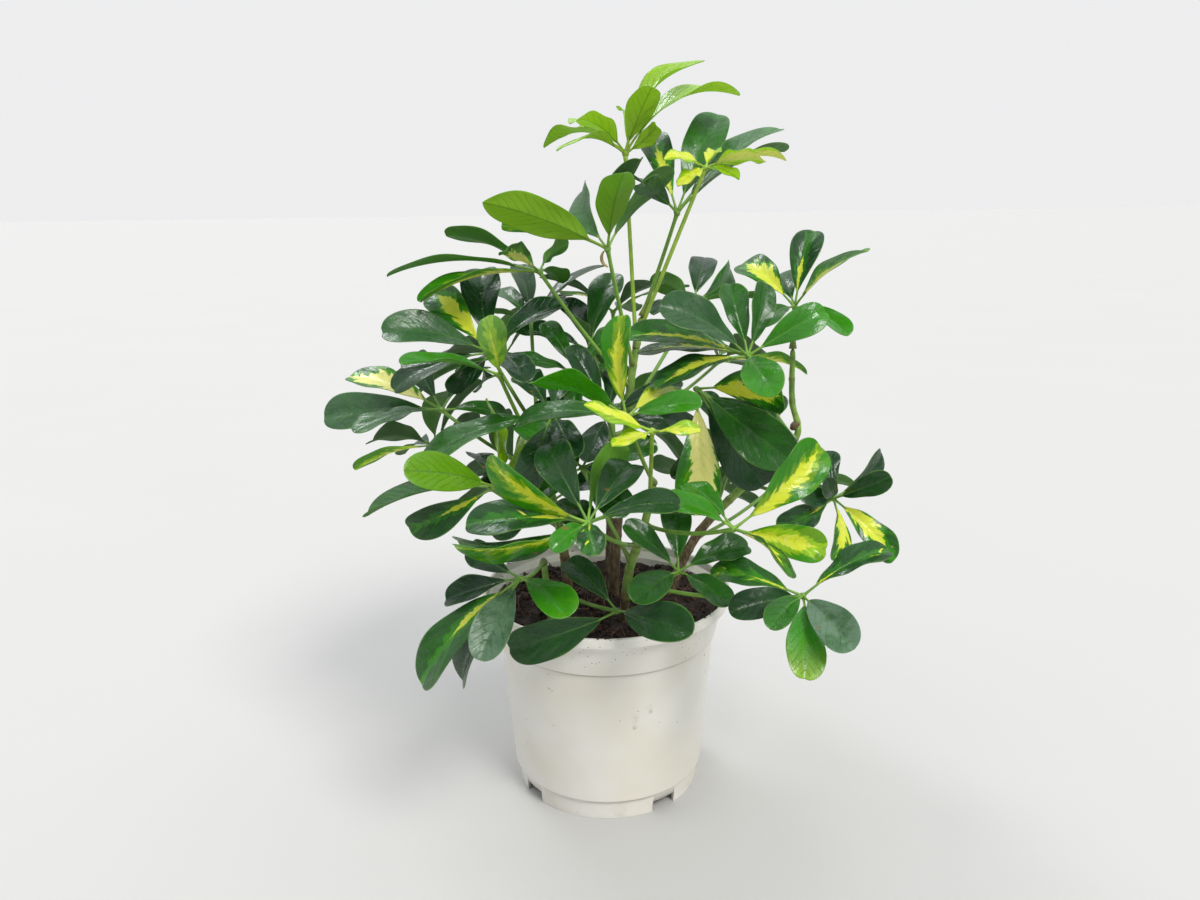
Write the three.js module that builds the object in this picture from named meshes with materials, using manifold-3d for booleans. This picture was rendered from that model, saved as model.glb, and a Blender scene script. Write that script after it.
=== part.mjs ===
// A potted umbrella plant: a tapered nursery pot of peat, six woody stems rooted in it, and the
// umbrella leaves, each a petiole with leaflets spread round its tip. Millimetres, +Z up, and the
// origin is where the pot's axis meets the ground. -Y is the side that faces the viewer.
import * as THREE from 'three';
import { mergeVertices } from 'three/addons/utils/BufferGeometryUtils.js';
import Module from 'manifold-3d';

const wasm = await Module();
wasm.setup();

// Pot: a 17 cm nursery pot with a rolled lip, a collar below it and a slotted foot ring
const RIM_R = 85;
const RIM_Z = 141;
const LIP_H = 6.5;
const LIP_T = 2.4;
const LIP_ROUND = 1.2;
const LIP_FLARE = 3;
const COLLAR_TOP_R = 79.4;
const COLLAR_BOTTOM_R = 75.6;
const COLLAR_Z = 111;
const BODY_TOP_R = 73.8;
const BODY_BOTTOM_R = 66.6;
const FOOT_R = 63.4;
const FOOT_H = 14;
const FLOOR_Z = 8.5;
const WALL = 1.8;
const STEP = 0.8;
const DRAFT = 1;
const POT_SIDES = 36;
const NOTCH_W = 18;
const NOTCH_H = 8;
const NOTCH_DEPTH = 12;
const NOTCH_COUNT = 4;
const NOTCH_TURN = 35.5;
const DRAIN_R = 5;
const DRAIN_PITCH_R = 44;
const DRAIN_SIDES = 8;

// Peat: it fills the pot to a little below the rim, with a rough top
const SOIL_Z = 130;
const SOIL_RINGS = 3;
const SOIL_SIDES = 24;
const SOIL_ROUGH = 2.2;
const SOIL_SLOPE = 0.035;
const SOIL_INSET = 0.4;
const SEAT = 0.3;
const SLEEVE = 0.35;
const FLAT_ENOUGH = 0.02;

// Two waves across the peat: radians for each millimetre along X and Y, their shifts, and the
// second one's share of the first
const LUMP = { x: 0.21, y: 0.17, shiftX: 1.3, shiftY: -0.4 };
const SWELL = { x: 0.09, y: -0.25, share: 0.6 };

// Stems: rooted in plain holes in the peat
const ROOT_DEPTH = 38;
const STEM_SIDES = 7;
const STEM_STEPS = 9;

// Leaves: sizes that all of them share, as shares of a leaflet's length where not in millimetres
const BLADE_T = 0.8;
const STALK = 0.15;
const STALK_R = 0.7;
const STALK_START = 0.8;
const PETIOLE_ROOT_R = 1.7;
const PETIOLE_R = 1.2;
const PETIOLE_SIDES = 4;
const PETIOLE_STEPS = 3;
const HUB_R = 3.6;
const WIDTH = 0.335;
const ARCH = 0.085;
const FOLD = 0.24;
const CLEAR = 1.1;

// How a leaf without a listed face looks: so much along its petiole and so much straight up
const FACE_ALONG = 0.8;
const FACE_UP = 0.6;

// A ring's leaflets: their lift towards the leaf's face and how far it varies, the share of their
// length that is taken off at most, and the beats of both round the ring
const RING_LIFT = 0.28;
const RING_SWAY = 0.12;
const RING_TRIM = 0.12;
const LIFT_BEAT = 2.4;
const TRIM_BEAT = 1.9;

// Half width of a blade, as a share of its widest, at each station from its base to its tip
const OUTLINE = [[0.3, 0.7], [0.62, 1], [0.88, 0.76], [1, 0.26]];
const PLAIN_OUTLINE = [[0.42, 0.88], [0.8, 0.92], [1, 0.3]];

// What a leaflet tries, in this order, until it is clear of its neighbours: turn sideways in
// degrees, lift in degrees, and share of its length
const BENDS = [
  [0, 0, 1], [0, 6, 1], [0, -6, 1], [7, 0, 1], [-7, 0, 1], [7, 6, 1], [-7, 6, 1], [7, -6, 1],
  [-7, -6, 1], [0, 12, 1], [0, -12, 1], [14, 0, 1], [-14, 0, 1], [12, 10, 0.94], [-12, 10, 0.94],
  [12, -10, 0.94], [-12, -10, 0.94], [0, 18, 0.92], [0, -18, 0.92], [20, 0, 0.92], [-20, 0, 0.92],
  [20, 12, 0.88], [-20, 12, 0.88], [20, -12, 0.88], [-20, -12, 0.88], [0, 0, 0.8], [10, 8, 0.8],
  [-10, 8, 0.8], [10, -8, 0.8], [-10, -8, 0.8], [0, 26, 0.85], [0, -26, 0.85], [28, 0, 0.85],
  [-28, 0, 0.85], [0, 0, 0.66], [16, 12, 0.66], [-16, 12, 0.66], [16, -12, 0.66], [-16, -12, 0.66],
  [0, 32, 0.7], [0, -32, 0.7], [34, 0, 0.7], [-34, 0, 0.7],
];

// What a petiole's middle tries in the same way: how far it bows sideways
const BOWS = [0, 5, -5, 10, -10, 16, -16, 24, -24, 32, -32];
const PETIOLE_CLEAR = 0.7;
const SAG = 0.1;

// Each stem: its radii at the root and the tip, and the points that it grows through
const STEMS = {
  stem_centre: [4.2, 2.2, [[3, 8, 0], [8, 8, 180], [14, 6, 235], [18, 2, 285], [25, 0, 326]]],
  stem_left: [4, 2.2, [[-24, 0, 0], [-30, 0, 175], [-40, -4, 225], [-44, -8, 262]]],
  stem_right: [4, 1.7, [[32, 8, 0], [62, 14, 168], [104, 20, 212], [133, 23, 240], [129, 25, 264],
    [128, 25, 300]]],
  stem_front: [3.8, 2.2, [[10, -30, 0], [14, -42, 165], [24, -46, 200], [30, -46, 228]]],
  stem_low_left: [3.2, 2, [[-32, -30, 0], [-38, -40, 150], [-40, -44, 176]]],
  stem_back: [4, 2.2, [[2, 36, 0], [4, 52, 170], [6, 62, 225], [4, 66, 275]]],
};

// Each leaf: its hub, the stem it grows from and how far up that stem, then its leaflets as
// compass direction in degrees (0 is +X, 90 is +Y), rise in degrees, length from the hub and, for a
// blade that turns on its stalk, that turn in degrees. "face" is the way the whole leaf's top looks.
// A leaf with "ring" has that many alike leaflets, of that length, evenly round the hub.
const LEAVES = [
  {"name": "leaf_top", "hub": [15, 5, 426], "face": [90, 80], "stem": "stem_centre", "at": 0.91,
   "arch": 0.18,
   "blades": [[-135, 20, 50, 10], [145, 5, 64, -10], [-145, 0, 50], [-65, 45, 50, -15], [15, 40, 75, 25],
              [15, 25, 84, 20], [95, 45, 42, 30], [-30, 40, 30, -70]]},
  {"name": "leaf_upper_right", "hub": [47, 0, 390], "stem": "stem_centre", "at": 1.0,
   "blades": [[55, 50, 80, 10], [110, 50, 64, -35], [-120, 20, 52, 45], [25, 40, 92], [30, 30, 95, -15],
              [150, 30, 50]]},
  {"name": "leaf_upper_right_young", "hub": [62, -20, 416], "stem": "stem_centre", "at": 0.955,
   "blades": [[-145, 10, 32, -20], [-135, -15, 28, -10], [-40, 5, 42, -30], [-5, 0, 48, -10],
              [-55, -15, 30, 20], [70, 25, 28, -15]]},
  {"name": "leaf_upper_centre", "hub": [3, -30, 370], "face": [90, 62], "stem": "stem_centre", "at": 0.86,
   "blades": [[-155, 20, 82, 30], [-80, 40, 66, 10], [25, 45, 64, -10], [-55, 45, 60, 35], [165, 10, 68, 5],
              [105, 30, 70, -80]]},
  {"name": "leaf_upper_left", "hub": [-40, 0, 355], "stem": "stem_centre", "at": 0.8,
   "blades": [[-170, 0, 95, 5], [-155, -5, 80, -5], [165, 20, 68, 40], [-115, 20, 45, 10],
              [65, 20, 44, -50], [75, 0, 52, 10]]},
  {"name": "leaf_right_high", "hub": [128, 25, 328], "stem": "stem_right", "at": 1.0,
   "blades": [[55, 60, 58, 10], [-50, 35, 66, -5], [120, 25, 64, -30], [-130, -10, 46, -20],
              [-60, -15, 52, 15], [100, 30, 48, -10]]},
  {"name": "leaf_right_mid", "hub": [83, -65, 310], "face": [-90, 40], "stem": "stem_right", "at": 0.74,
   "blades": [[-160, 30, 64, 5], [105, 55, 48], [60, 60, 46, 30], [0, 30, 52, 15], [-85, -10, 60, 15],
              [180, 10, 72, 20], [170, 0, 64, 35], [-165, -10, 58, 30]]},
  {"name": "leaf_centre", "hub": [12, -90, 280], "face": [-90, 50], "stem": "stem_front", "at": 1.0,
   "blades": [[-140, 25, 70, 70], [165, -5, 66, 15], [100, 80, 58, -40], [45, 15, 45, -15], [-25, 15, 46]]},
  {"name": "leaf_centre_young", "hub": [25, -115, 278], "stem": "stem_front", "at": 0.9, "arch": 0.02,
   "blades": [[-155, 25, 44, 5], [-135, 10, 32], [-50, 10, 36]]},
  {"name": "leaf_left_mid", "hub": [-72, -15, 306], "face": [-110, 40], "stem": "stem_left", "at": 0.94,
   "blades": [[-155, 15, 70, 10], [140, 35, 65], [100, 45, 70, 10], [35, 25, 62, -10], [-155, -15, 66, 15],
              [-120, -15, 48, -100], [-60, -10, 54, -30]]},
  {"name": "leaf_left_spotted", "hub": [-63, -50, 298], "face": [-90, 30], "stem": "stem_left", "at": 0.82,
   "blades": [[-155, 10, 60, 60], [-95, 50, 50, 30], [125, -10, 44]]},
  {"name": "leaf_left_low", "hub": [-107, 0, 266], "face": [-120, 50], "stem": "stem_left", "at": 0.76,
   "blades": [[160, 15, 72, 20], [-170, 0, 76, -10], [-145, -10, 64, 5], [120, 30, 60], [60, 25, 55],
              [20, -10, 46]]},
  {"name": "leaf_left_inner", "hub": [-32, -40, 271], "face": [-100, 50], "stem": "stem_left", "at": 0.7,
   "blades": [[170, -15, 92, 20], [130, 10, 55], [-110, -40, 60], [-70, -20, 48], [80, 20, 46]]},
  {"name": "leaf_low_left", "hub": [-69, -50, 228], "face": [-120, 45], "stem": "stem_left", "at": 0.62,
   "blades": [[-140, 20, 65, -25], [100, 50, 66, 95], [75, 45, 70, 105], [170, -15, 88, 40],
              [-175, -25, 60, -60], [110, 10, 52, 50]]},
  {"name": "leaf_front_centre", "hub": [-10, -130, 232], "face": [-95, 45], "stem": "stem_front", "at": 0.7,
   "blades": [[180, 35, 64, -70], [115, 30, 64, -10], [70, 20, 70, -100], [55, 20, 58, 5],
              [-15, 15, 52, -20], [-175, 5, 66, 20], [180, -10, 74, -95], [165, -20, 84, -90],
              [-125, -10, 32, -10], [-85, -5, 40, -5], [10, 0, 64, -35]]},
  {"name": "leaf_front_right", "hub": [70, -115, 222], "face": [-70, 50], "stem": "stem_front", "at": 0.8,
   "blades": [[25, 35, 70, 35], [-25, -5, 52, 45], [125, 20, 46, 5], [-160, 15, 48, 15],
              [-60, -10, 54, -40]]},
  {"name": "leaf_right_small", "hub": [149, -20, 208], "face": [-70, 30], "stem": "stem_right", "at": 0.56,
   "blades": [[85, 50, 34, -5], [-140, 15, 36], [-125, 40, 32, -35], [30, 30, 50, 45], [-40, 30, 44, 20],
              [-30, -40, 55, 10], [-140, -5, 50, -20], [-100, -40, 46, -25]]},
  {"name": "leaf_right_low", "hub": [117, -85, 168], "face": [-70, 40], "stem": "stem_front", "at": 0.5,
   "blades": [[-155, 0, 52, 10], [-125, -10, 46, 20], [-100, -20, 60, 5], [-75, -5, 60, 40],
              [10, 25, 60, -40], [155, 5, 60, 10]]},
  {"name": "leaf_left_front_low", "hub": [-50, -100, 188], "face": [-120, 30],
   "stem": "stem_low_left", "at": 1.0,
   "blades": [[170, -20, 48, 20], [-170, -45, 86, 15], [160, -60, 84, 20], [-110, -25, 60, -20],
              [-60, 0, 60, -35], [135, 8, 48]]},
  {"name": "leaf_front_low", "hub": [6, -72, 154], "face": [-90, 60], "stem": "stem_low_left", "at": 0.8,
   "blades": [[175, -25, 80, -60], [-55, 10, 72, 25], [130, 20, 52]]},
  {"name": "leaf_right_inner", "hub": [58, -25, 283], "face": [-60, 20], "stem": "stem_right", "at": 0.66,
   "blades": [[-95, -65, 80, 25], [-45, -25, 82, 35], [5, -55, 80, 40], [-60, 0, 80, -70],
              [10, -35, 64, 10]]},
  {"name": "leaf_left_back_high", "hub": [-49, 35, 320], "stem": "stem_left", "at": 1.0,
   "blades": [[105, 40, 54], [125, 20, 50, -20], [40, 35, 70, 20], [60, 40, 60, 15], [-170, 5, 50]]},
  {"name": "leaf_centre_back_high", "hub": [-9, 45, 297], "stem": "stem_back", "at": 1.0,
   "blades": [[65, 50, 65], [115, 45, 60, 25], [90, 40, 52, -25], [-115, 40, 44, -25], [170, 15, 56]]},
  {"name": "leaf_right_back_high", "hub": [62, 40, 330], "stem": "stem_centre", "at": 0.73,
   "blades": [[75, 30, 56, -10], [125, 15, 50, 70], [55, 20, 60, 80], [-130, -5, 46], [0, 5, 54]]},
  {"name": "leaf_inner_centre", "hub": [2, -12, 262], "face": [-90, 60], "stem": "stem_centre", "at": 0.56,
   "ring": 6, "length": 58, "turn": 15},
  {"name": "leaf_inner_right", "hub": [84, -12, 236], "face": [-80, 60], "stem": "stem_right", "at": 0.42,
   "ring": 6, "length": 62, "turn": 40},
  {"name": "leaf_inner_low", "hub": [44, -64, 176], "face": [-80, 60], "stem": "stem_front", "at": 0.4,
   "ring": 5, "length": 52, "turn": 10},
  {"name": "leaf_inner_left", "hub": [-34, -30, 212], "face": [-110, 60], "stem": "stem_left", "at": 0.46,
   "ring": 5, "length": 56, "turn": 30},
  {"name": "leaf_inner_high", "hub": [-18, 8, 288], "face": [-90, 60], "stem": "stem_left", "at": 0.88,
   "ring": 5, "length": 50, "turn": 50},
  {"name": "leaf_inner_front", "hub": [-14, -52, 240], "face": [-90, 55], "stem": "stem_front", "at": 0.6,
   "ring": 5, "length": 54, "turn": 5},
  {"name": "leaf_back_high", "hub": [8, 96, 318], "stem": "stem_back", "at": 0.92,
   "ring": 6, "length": 68, "turn": 20},
  {"name": "leaf_back_left_high", "hub": [-74, 92, 286], "stem": "stem_back", "at": 0.84,
   "ring": 6, "length": 70, "turn": 0},
  {"name": "leaf_back_right_high", "hub": [88, 96, 280], "stem": "stem_back", "at": 0.76,
   "ring": 6, "length": 70, "turn": 45},
  {"name": "leaf_back_left", "hub": [-124, 62, 226], "stem": "stem_left", "at": 0.54,
   "ring": 6, "length": 66, "turn": 10},
  {"name": "leaf_back_right", "hub": [133, 66, 196], "stem": "stem_right", "at": 0.34,
   "ring": 6, "length": 58, "turn": 25},
  {"name": "leaf_back_middle", "hub": [6, 108, 240], "stem": "stem_back", "at": 0.67,
   "ring": 6, "length": 68, "turn": 30},
  {"name": "leaf_back_left_low", "hub": [-70, 114, 190], "stem": "stem_back", "at": 0.58,
   "ring": 6, "length": 66, "turn": 5},
  {"name": "leaf_back_right_low", "hub": [72, 117, 178], "stem": "stem_back", "at": 0.49,
   "ring": 6, "length": 64, "turn": 50},
];

// Colour and roughness of each material
const LEAF_GREEN = { color: 0x2c6129, roughness: 0.4 };
const YOUNG_GREEN = { color: 0x6fae2e, roughness: 0.4 };
const STEM_BROWN = { color: 0x6d6a45, roughness: 0.7 };
const POT_WHITE = { color: 0xd9d4c8, roughness: 0.55 };
const PEAT_BROWN = { color: 0x2a1f18, roughness: 0.95 };

const vec = (x, y, z) => new THREE.Vector3(x, y, z);
const rad = THREE.MathUtils.degToRad;

// A closed geometry as a manifold solid
function solid(geometry) {
  const bare = geometry.clone();
  bare.deleteAttribute('normal');
  bare.deleteAttribute('uv');
  const merged = mergeVertices(bare, 1e-4);
  return new wasm.Manifold(new wasm.Mesh({
    numProp: 3,
    vertProperties: Float32Array.from(merged.attributes.position.array),
    triVerts: Uint32Array.from(merged.index.array),
  }));
}

// A manifold solid as a mesh of the scene
function meshOf(name, body, finish) {
  const mesh = body.asOriginal().simplify(FLAT_ENOUGH).getMesh();
  const geometry = new THREE.BufferGeometry();
  geometry.setAttribute('position', new THREE.BufferAttribute(mesh.vertProperties, 3));
  geometry.setIndex(new THREE.BufferAttribute(mesh.triVerts, 1));
  geometry.computeVertexNormals();
  const material = new THREE.MeshStandardMaterial({ ...finish, metalness: 0 });
  const node = new THREE.Mesh(geometry, material);
  node.name = name;
  return node;
}

// The largest body of a solid, without the loose scraps that a cut can leave
function whole(body) {
  const bodies = body.decompose();
  return bodies.reduce((best, next) => (next.volume() > best.volume() ? next : best));
}

function lathe(profile, sides) {
  const geometry = new THREE.LatheGeometry(profile.map(([r, z]) => new THREE.Vector2(r, z)), sides);
  return geometry.rotateX(Math.PI / 2);
}

function cylinder(radius, bottom, top, x, y, sides) {
  const geometry = new THREE.CylinderGeometry(radius, radius, top - bottom, sides);
  return geometry.rotateX(Math.PI / 2).translate(x, y, (top + bottom) / 2);
}

function potSolid() {
  const lipZ = RIM_Z - LIP_H;
  const profile = [
    [0, FLOOR_Z], [FOOT_R - WALL - DRAFT, FLOOR_Z], [FOOT_R - WALL, 0], [FOOT_R, 0],
    [FOOT_R + DRAFT, FOOT_H - STEP], [BODY_BOTTOM_R, FOOT_H], [BODY_TOP_R, COLLAR_Z - STEP],
    [COLLAR_BOTTOM_R, COLLAR_Z + STEP], [COLLAR_TOP_R, lipZ - LIP_FLARE], [RIM_R - LIP_ROUND, lipZ],
    [RIM_R, RIM_Z - LIP_ROUND], [RIM_R - STEP, RIM_Z], [RIM_R - LIP_T, RIM_Z],
    [RIM_R - LIP_T - STEP, lipZ + DRAFT], [COLLAR_TOP_R - WALL, lipZ - LIP_FLARE],
    [COLLAR_BOTTOM_R - WALL, COLLAR_Z + STEP], [BODY_TOP_R - WALL, COLLAR_Z - STEP],
    [BODY_BOTTOM_R - WALL, FOOT_H], [BODY_BOTTOM_R - 2 * WALL, FLOOR_Z + WALL], [0, FLOOR_Z + WALL],
  ];
  let body = solid(lathe(profile, POT_SIDES));
  for (let i = 0; i < NOTCH_COUNT; i++) {
    const angle = rad(NOTCH_TURN + i * 360 / NOTCH_COUNT);
    const notch = new THREE.BoxGeometry(NOTCH_DEPTH, NOTCH_W, 2 * NOTCH_H);
    notch.translate(FOOT_R, 0, 0).rotateZ(angle);
    body = body.subtract(solid(notch));
    const [x, y] = [Math.cos(angle) * DRAIN_PITCH_R, Math.sin(angle) * DRAIN_PITCH_R];
    body = body.subtract(solid(cylinder(DRAIN_R, 0, FOOT_H, x, y, DRAIN_SIDES)));
  }
  return body;
}

// Height of the peat's rough top, highest at the viewer's side
function soilHeight(x, y) {
  const lump = Math.sin(x * LUMP.x + LUMP.shiftX) * Math.cos(y * LUMP.y + LUMP.shiftY);
  const swell = SWELL.share * Math.sin(x * SWELL.x + y * SWELL.y);
  return SOIL_Z + SOIL_ROUGH * (lump + swell) - SOIL_SLOPE * y;
}

function soilSolid() {
  const bottom = FLOOR_Z + WALL + SEAT;
  const inset = WALL + SEAT + SOIL_INSET;
  const edge = COLLAR_TOP_R - inset - DRAFT;
  const profile = [[0, bottom], [BODY_BOTTOM_R - WALL - inset, bottom]];
  profile.push([BODY_BOTTOM_R - inset, FOOT_H + 1], [BODY_TOP_R - inset, COLLAR_Z - STEP]);
  profile.push([COLLAR_BOTTOM_R - inset, COLLAR_Z + 2 * STEP]);
  for (let i = SOIL_RINGS; i >= 0; i--) profile.push([edge * i / SOIL_RINGS, SOIL_Z]);
  const geometry = lathe(profile, SOIL_SIDES);
  const points = geometry.attributes.position;
  for (let i = 0; i < points.count; i++) {
    if (points.getZ(i) < SOIL_Z - 1) continue;
    points.setZ(i, soilHeight(points.getX(i), points.getY(i)));
  }
  return solid(geometry);
}

// Points of a stem, from its rooted end to its tip
function stemCurve(name) {
  const points = STEMS[name][2].map(([x, y, z]) => vec(x, y, z === 0 ? SOIL_Z - ROOT_DEPTH : z));
  return new THREE.CatmullRomCurve3(points);
}

// A closed round tube along a curve, tapering from its first radius to its last, whose ends reach
// a little "beyond" the curve's
function tube(curve, first, last, sides, steps, beyond = 0) {
  const { tangents, normals, binormals } = curve.computeFrenetFrames(steps, false);
  const points = [];
  for (let i = 0; i <= steps; i++) {
    const centre = curve.getPointAt(i / steps);
    if (i === 0) centre.addScaledVector(tangents[i], -beyond);
    if (i === steps) centre.addScaledVector(tangents[i], beyond);
    const radius = THREE.MathUtils.lerp(first, last, i / steps);
    for (let k = 0; k < sides; k++) {
      const angle = 2 * Math.PI * k / sides;
      const point = centre.clone().addScaledVector(normals[i], radius * Math.cos(angle));
      points.push(point.addScaledVector(binormals[i], radius * Math.sin(angle)));
    }
  }
  const faces = [];
  for (let a = 0; a < sides * steps; a++) {
    const b = a % sides === sides - 1 ? a + 1 - sides : a + 1;
    faces.push([a, b, b + sides], [a, b + sides, a + sides]);
  }
  for (let k = 1; k + 1 < sides; k++) {
    faces.push([0, k + 1, k], [sides * steps, sides * steps + k, sides * steps + k + 1]);
  }
  const geometry = new THREE.BufferGeometry().setFromPoints(points);
  geometry.setIndex(faces.flat());
  return geometry;
}

// Direction from a compass angle and a rise, both in degrees
function heading(compass, rise) {
  const flat = Math.cos(rad(rise));
  return vec(flat * Math.cos(rad(compass)), flat * Math.sin(rad(compass)), Math.sin(rad(rise)));
}

// Where a leaf leaves its stem, on the stem's middle line
function rootOf(leaf) {
  return stemCurve(leaf.stem).getPointAt(leaf.at);
}

// A petiole's course from its root to its hub, sagging a little and bowed sideways by "bow"
function petioleCurve(leaf, bow) {
  const root = rootOf(leaf);
  const hub = vec(...leaf.hub);
  const reach = Math.hypot(hub.x - root.x, hub.y - root.y);
  const aside = hub.clone().sub(root).cross(vec(0, 0, 1)).normalize();
  const middle = root.clone().lerp(hub, 0.5).addScaledVector(aside, bow);
  middle.z -= SAG * reach;
  return new THREE.QuadraticBezierCurve3(root, middle, hub);
}

function petiole(leaf, bow, grow) {
  const curve = petioleCurve(leaf, bow);
  return solid(tube(curve, PETIOLE_ROOT_R + grow, PETIOLE_R + grow, PETIOLE_SIDES, PETIOLE_STEPS));
}

// The way a leaf's top faces: as listed, or between its petiole's direction and straight up
function facing(leaf) {
  if (leaf.face) return heading(...leaf.face);
  const along = vec(...leaf.hub).sub(rootOf(leaf)).normalize();
  return along.multiplyScalar(FACE_ALONG).add(vec(0, 0, FACE_UP)).normalize();
}

// A leaf's leaflets, as listed or evenly round its facing
function bladesOf(leaf) {
  if (leaf.blades) return leaf.blades;
  const up = facing(leaf);
  const across = vec(0, 0, 1).cross(up).normalize();
  const along = up.clone().cross(across);
  const blades = [];
  for (let i = 0; i < leaf.ring; i++) {
    const angle = rad(leaf.turn + i * 360 / leaf.ring);
    const tilt = RING_LIFT + RING_SWAY * Math.sin(i * LIFT_BEAT + leaf.turn);
    const way = across.clone().multiplyScalar(Math.cos(angle)).addScaledVector(along, Math.sin(angle));
    way.addScaledVector(up, tilt).normalize();
    const compass = THREE.MathUtils.radToDeg(Math.atan2(way.y, way.x));
    const rise = THREE.MathUtils.radToDeg(Math.asin(way.z));
    const trim = RING_TRIM * Math.abs(Math.sin(i * TRIM_BEAT + leaf.turn));
    blades.push([compass, rise, leaf.length * (1 - trim)]);
  }
  return blades;
}

// The frame of a leaflet: its direction, the direction its face looks and its arch in millimetres
function leafletFrame(leaf, up, compass, rise, length, turn = 0) {
  const way = heading(compass, rise);
  const lift = up.clone().addScaledVector(way, -up.dot(way)).normalize();
  lift.applyAxisAngle(way, rad(turn));
  return { hub: vec(...leaf.hub), way, lift, arch: (leaf.arch ?? ARCH) * length, length };
}

// Where a leaflet's midrib is at a share of its length, with its side and top directions there
function midrib({ hub, way, lift, arch, length }, t) {
  const centre = hub.clone().addScaledVector(way, t * length);
  centre.addScaledVector(lift, 4 * arch * t * (1 - t));
  const ahead = way.clone().multiplyScalar(length).addScaledVector(lift, 4 * arch * (1 - 2 * t));
  ahead.normalize();
  const top = lift.clone().addScaledVector(ahead, -lift.dot(ahead)).normalize();
  return { centre, top, side: ahead.clone().cross(top) };
}

// One section of a blade: left edge, midrib and right edge on its top, then the same below
function section({ centre, top, side }, half, grow) {
  const wide = half + grow;
  const raise = FOLD * (half - STALK_R);
  const points = [];
  for (const level of [BLADE_T / 2 + grow, -BLADE_T / 2 - grow]) {
    for (const place of [-1, 0, 1]) {
      const point = centre.clone().addScaledVector(side, place * wide);
      points.push(point.addScaledVector(top, Math.abs(place) * raise + level));
    }
  }
  return points;
}

// One section of a stalk: its left and right edges and its underside
function stalkSection({ centre, top, side }, grow) {
  const reach = STALK_R + grow;
  const left = centre.clone().addScaledVector(side, -reach).addScaledVector(top, reach / 2);
  const right = centre.clone().addScaledVector(side, reach).addScaledVector(top, reach / 2);
  return [left, right, centre.clone().addScaledVector(top, -reach)];
}

// A leaflet: an arched blade folded along its midrib, with a stalk. Fattened by "grow" to test
// its room, it has no stalk.
function leaflet(leaf, up, [compass, rise, length, turn], grow) {
  const frame = leafletFrame(leaf, up, compass, rise, length, turn);
  const base = midrib(frame, STALK);
  const points = stalkSection(base, grow);
  const faces = [[0, 2, 1]];
  if (grow === 0) {
    const back = midrib(frame, STALK_START / length).centre.sub(base.centre);
    points.unshift(...points.map((point) => point.clone().add(back)));
    faces.push([0, 1, 4], [0, 4, 3], [2, 4, 1], [2, 5, 4], [0, 3, 5], [0, 5, 2]);
  }
  const [l, r, below] = [points.length - 3, points.length - 2, points.length - 1];
  const first = points.length;
  for (const [u, share] of leaf.ring ? PLAIN_OUTLINE : OUTLINE) {
    points.push(...section(midrib(frame, STALK + (1 - STALK) * u), share * WIDTH / 2 * length, grow));
  }
  const [lt, mt, rt, lb, mb, rb] = [0, 1, 2, 3, 4, 5].map((k) => k + first);
  faces.push([l, mt, lt], [l, r, mt], [r, rt, mt], [l, lt, lb], [l, lb, below]);
  faces.push([below, lb, mb], [below, mb, rb], [below, rb, r], [r, rb, rt]);
  for (let a = first; a + 6 < points.length; a += 6) {
    const b = a + 6;
    faces.push([a + 1, b + 1, b], [a + 1, b, a], [a + 1, a + 2, b + 2], [a + 1, b + 2, b + 1]);
    faces.push([a + 4, b + 3, b + 4], [a + 4, a + 3, b + 3], [a + 4, b + 5, a + 5], [a + 4, b + 4, b + 5]);
    faces.push([a, b, b + 3], [a, b + 3, a + 3], [a + 2, b + 5, b + 2], [a + 2, a + 5, b + 5]);
  }
  const end = points.length - 6;
  faces.push([end, end + 1, end + 4], [end, end + 4, end + 3]);
  faces.push([end + 1, end + 2, end + 5], [end + 1, end + 5, end + 4]);
  const geometry = new THREE.BufferGeometry().setFromPoints(points);
  geometry.setIndex(faces.flat());
  return geometry;
}

// Whether two solids' boxes reach each other
function boxesMeet(a, b) {
  return [0, 1, 2].every((k) => a.min[k] <= b.max[k] && b.min[k] <= a.max[k]);
}

// What has been placed so far: each solid with its box, its leaf and whether it is a blade
const placed = [];
function place(body, owner, isBlade) {
  placed.push({ body, box: body.boundingBox(), owner, isBlade });
}

// Whether a fattened leaflet or petiole is clear of all but its own hub, petiole and stem
function isClear(fat, owner, stem) {
  const box = fat.boundingBox();
  return !placed.some((other) => {
    if ((other.owner === owner && !other.isBlade) || other.owner === stem) return false;
    return boxesMeet(box, other.box) && !fat.intersect(other.body).isEmpty();
  });
}

const stems = {};
const sleeves = {};
for (const [name, [first, last]] of Object.entries(STEMS)) {
  const curve = stemCurve(name);
  stems[name] = solid(tube(curve, first, last, STEM_SIDES, STEM_STEPS));
  const [root, tip] = [first + SLEEVE, last + SLEEVE];
  sleeves[name] = solid(tube(curve, root, tip, STEM_SIDES, STEM_STEPS, SLEEVE));
  place(stems[name], name, false);
}
const pot = potSolid();
let soil = soilSolid();
for (const sleeve of Object.values(sleeves)) soil = soil.subtract(sleeve);
place(pot, 'pot', false);
place(soil, 'soil', false);

const hubs = LEAVES.map((leaf) => solid(new THREE.OctahedronGeometry(HUB_R, 0).translate(...leaf.hub)));
LEAVES.forEach((leaf, index) => place(hubs[index], leaf.name, false));
const frames = LEAVES.map((leaf, index) => {
  const bow = BOWS.find((next) => isClear(petiole(leaf, next, PETIOLE_CLEAR), leaf.name, leaf.stem));
  if (bow === undefined) throw new Error(`${leaf.name} has no clear way for its petiole`);
  const body = petiole(leaf, bow, 0).subtract(sleeves[leaf.stem]);
  place(body, leaf.name, false);
  return body.add(hubs[index]);
});

const plant = new THREE.Group();
plant.add(meshOf('pot', pot, POT_WHITE));
plant.add(meshOf('soil', soil, PEAT_BROWN));
for (const [name, body] of Object.entries(stems)) plant.add(meshOf(name, body, STEM_BROWN));

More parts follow.
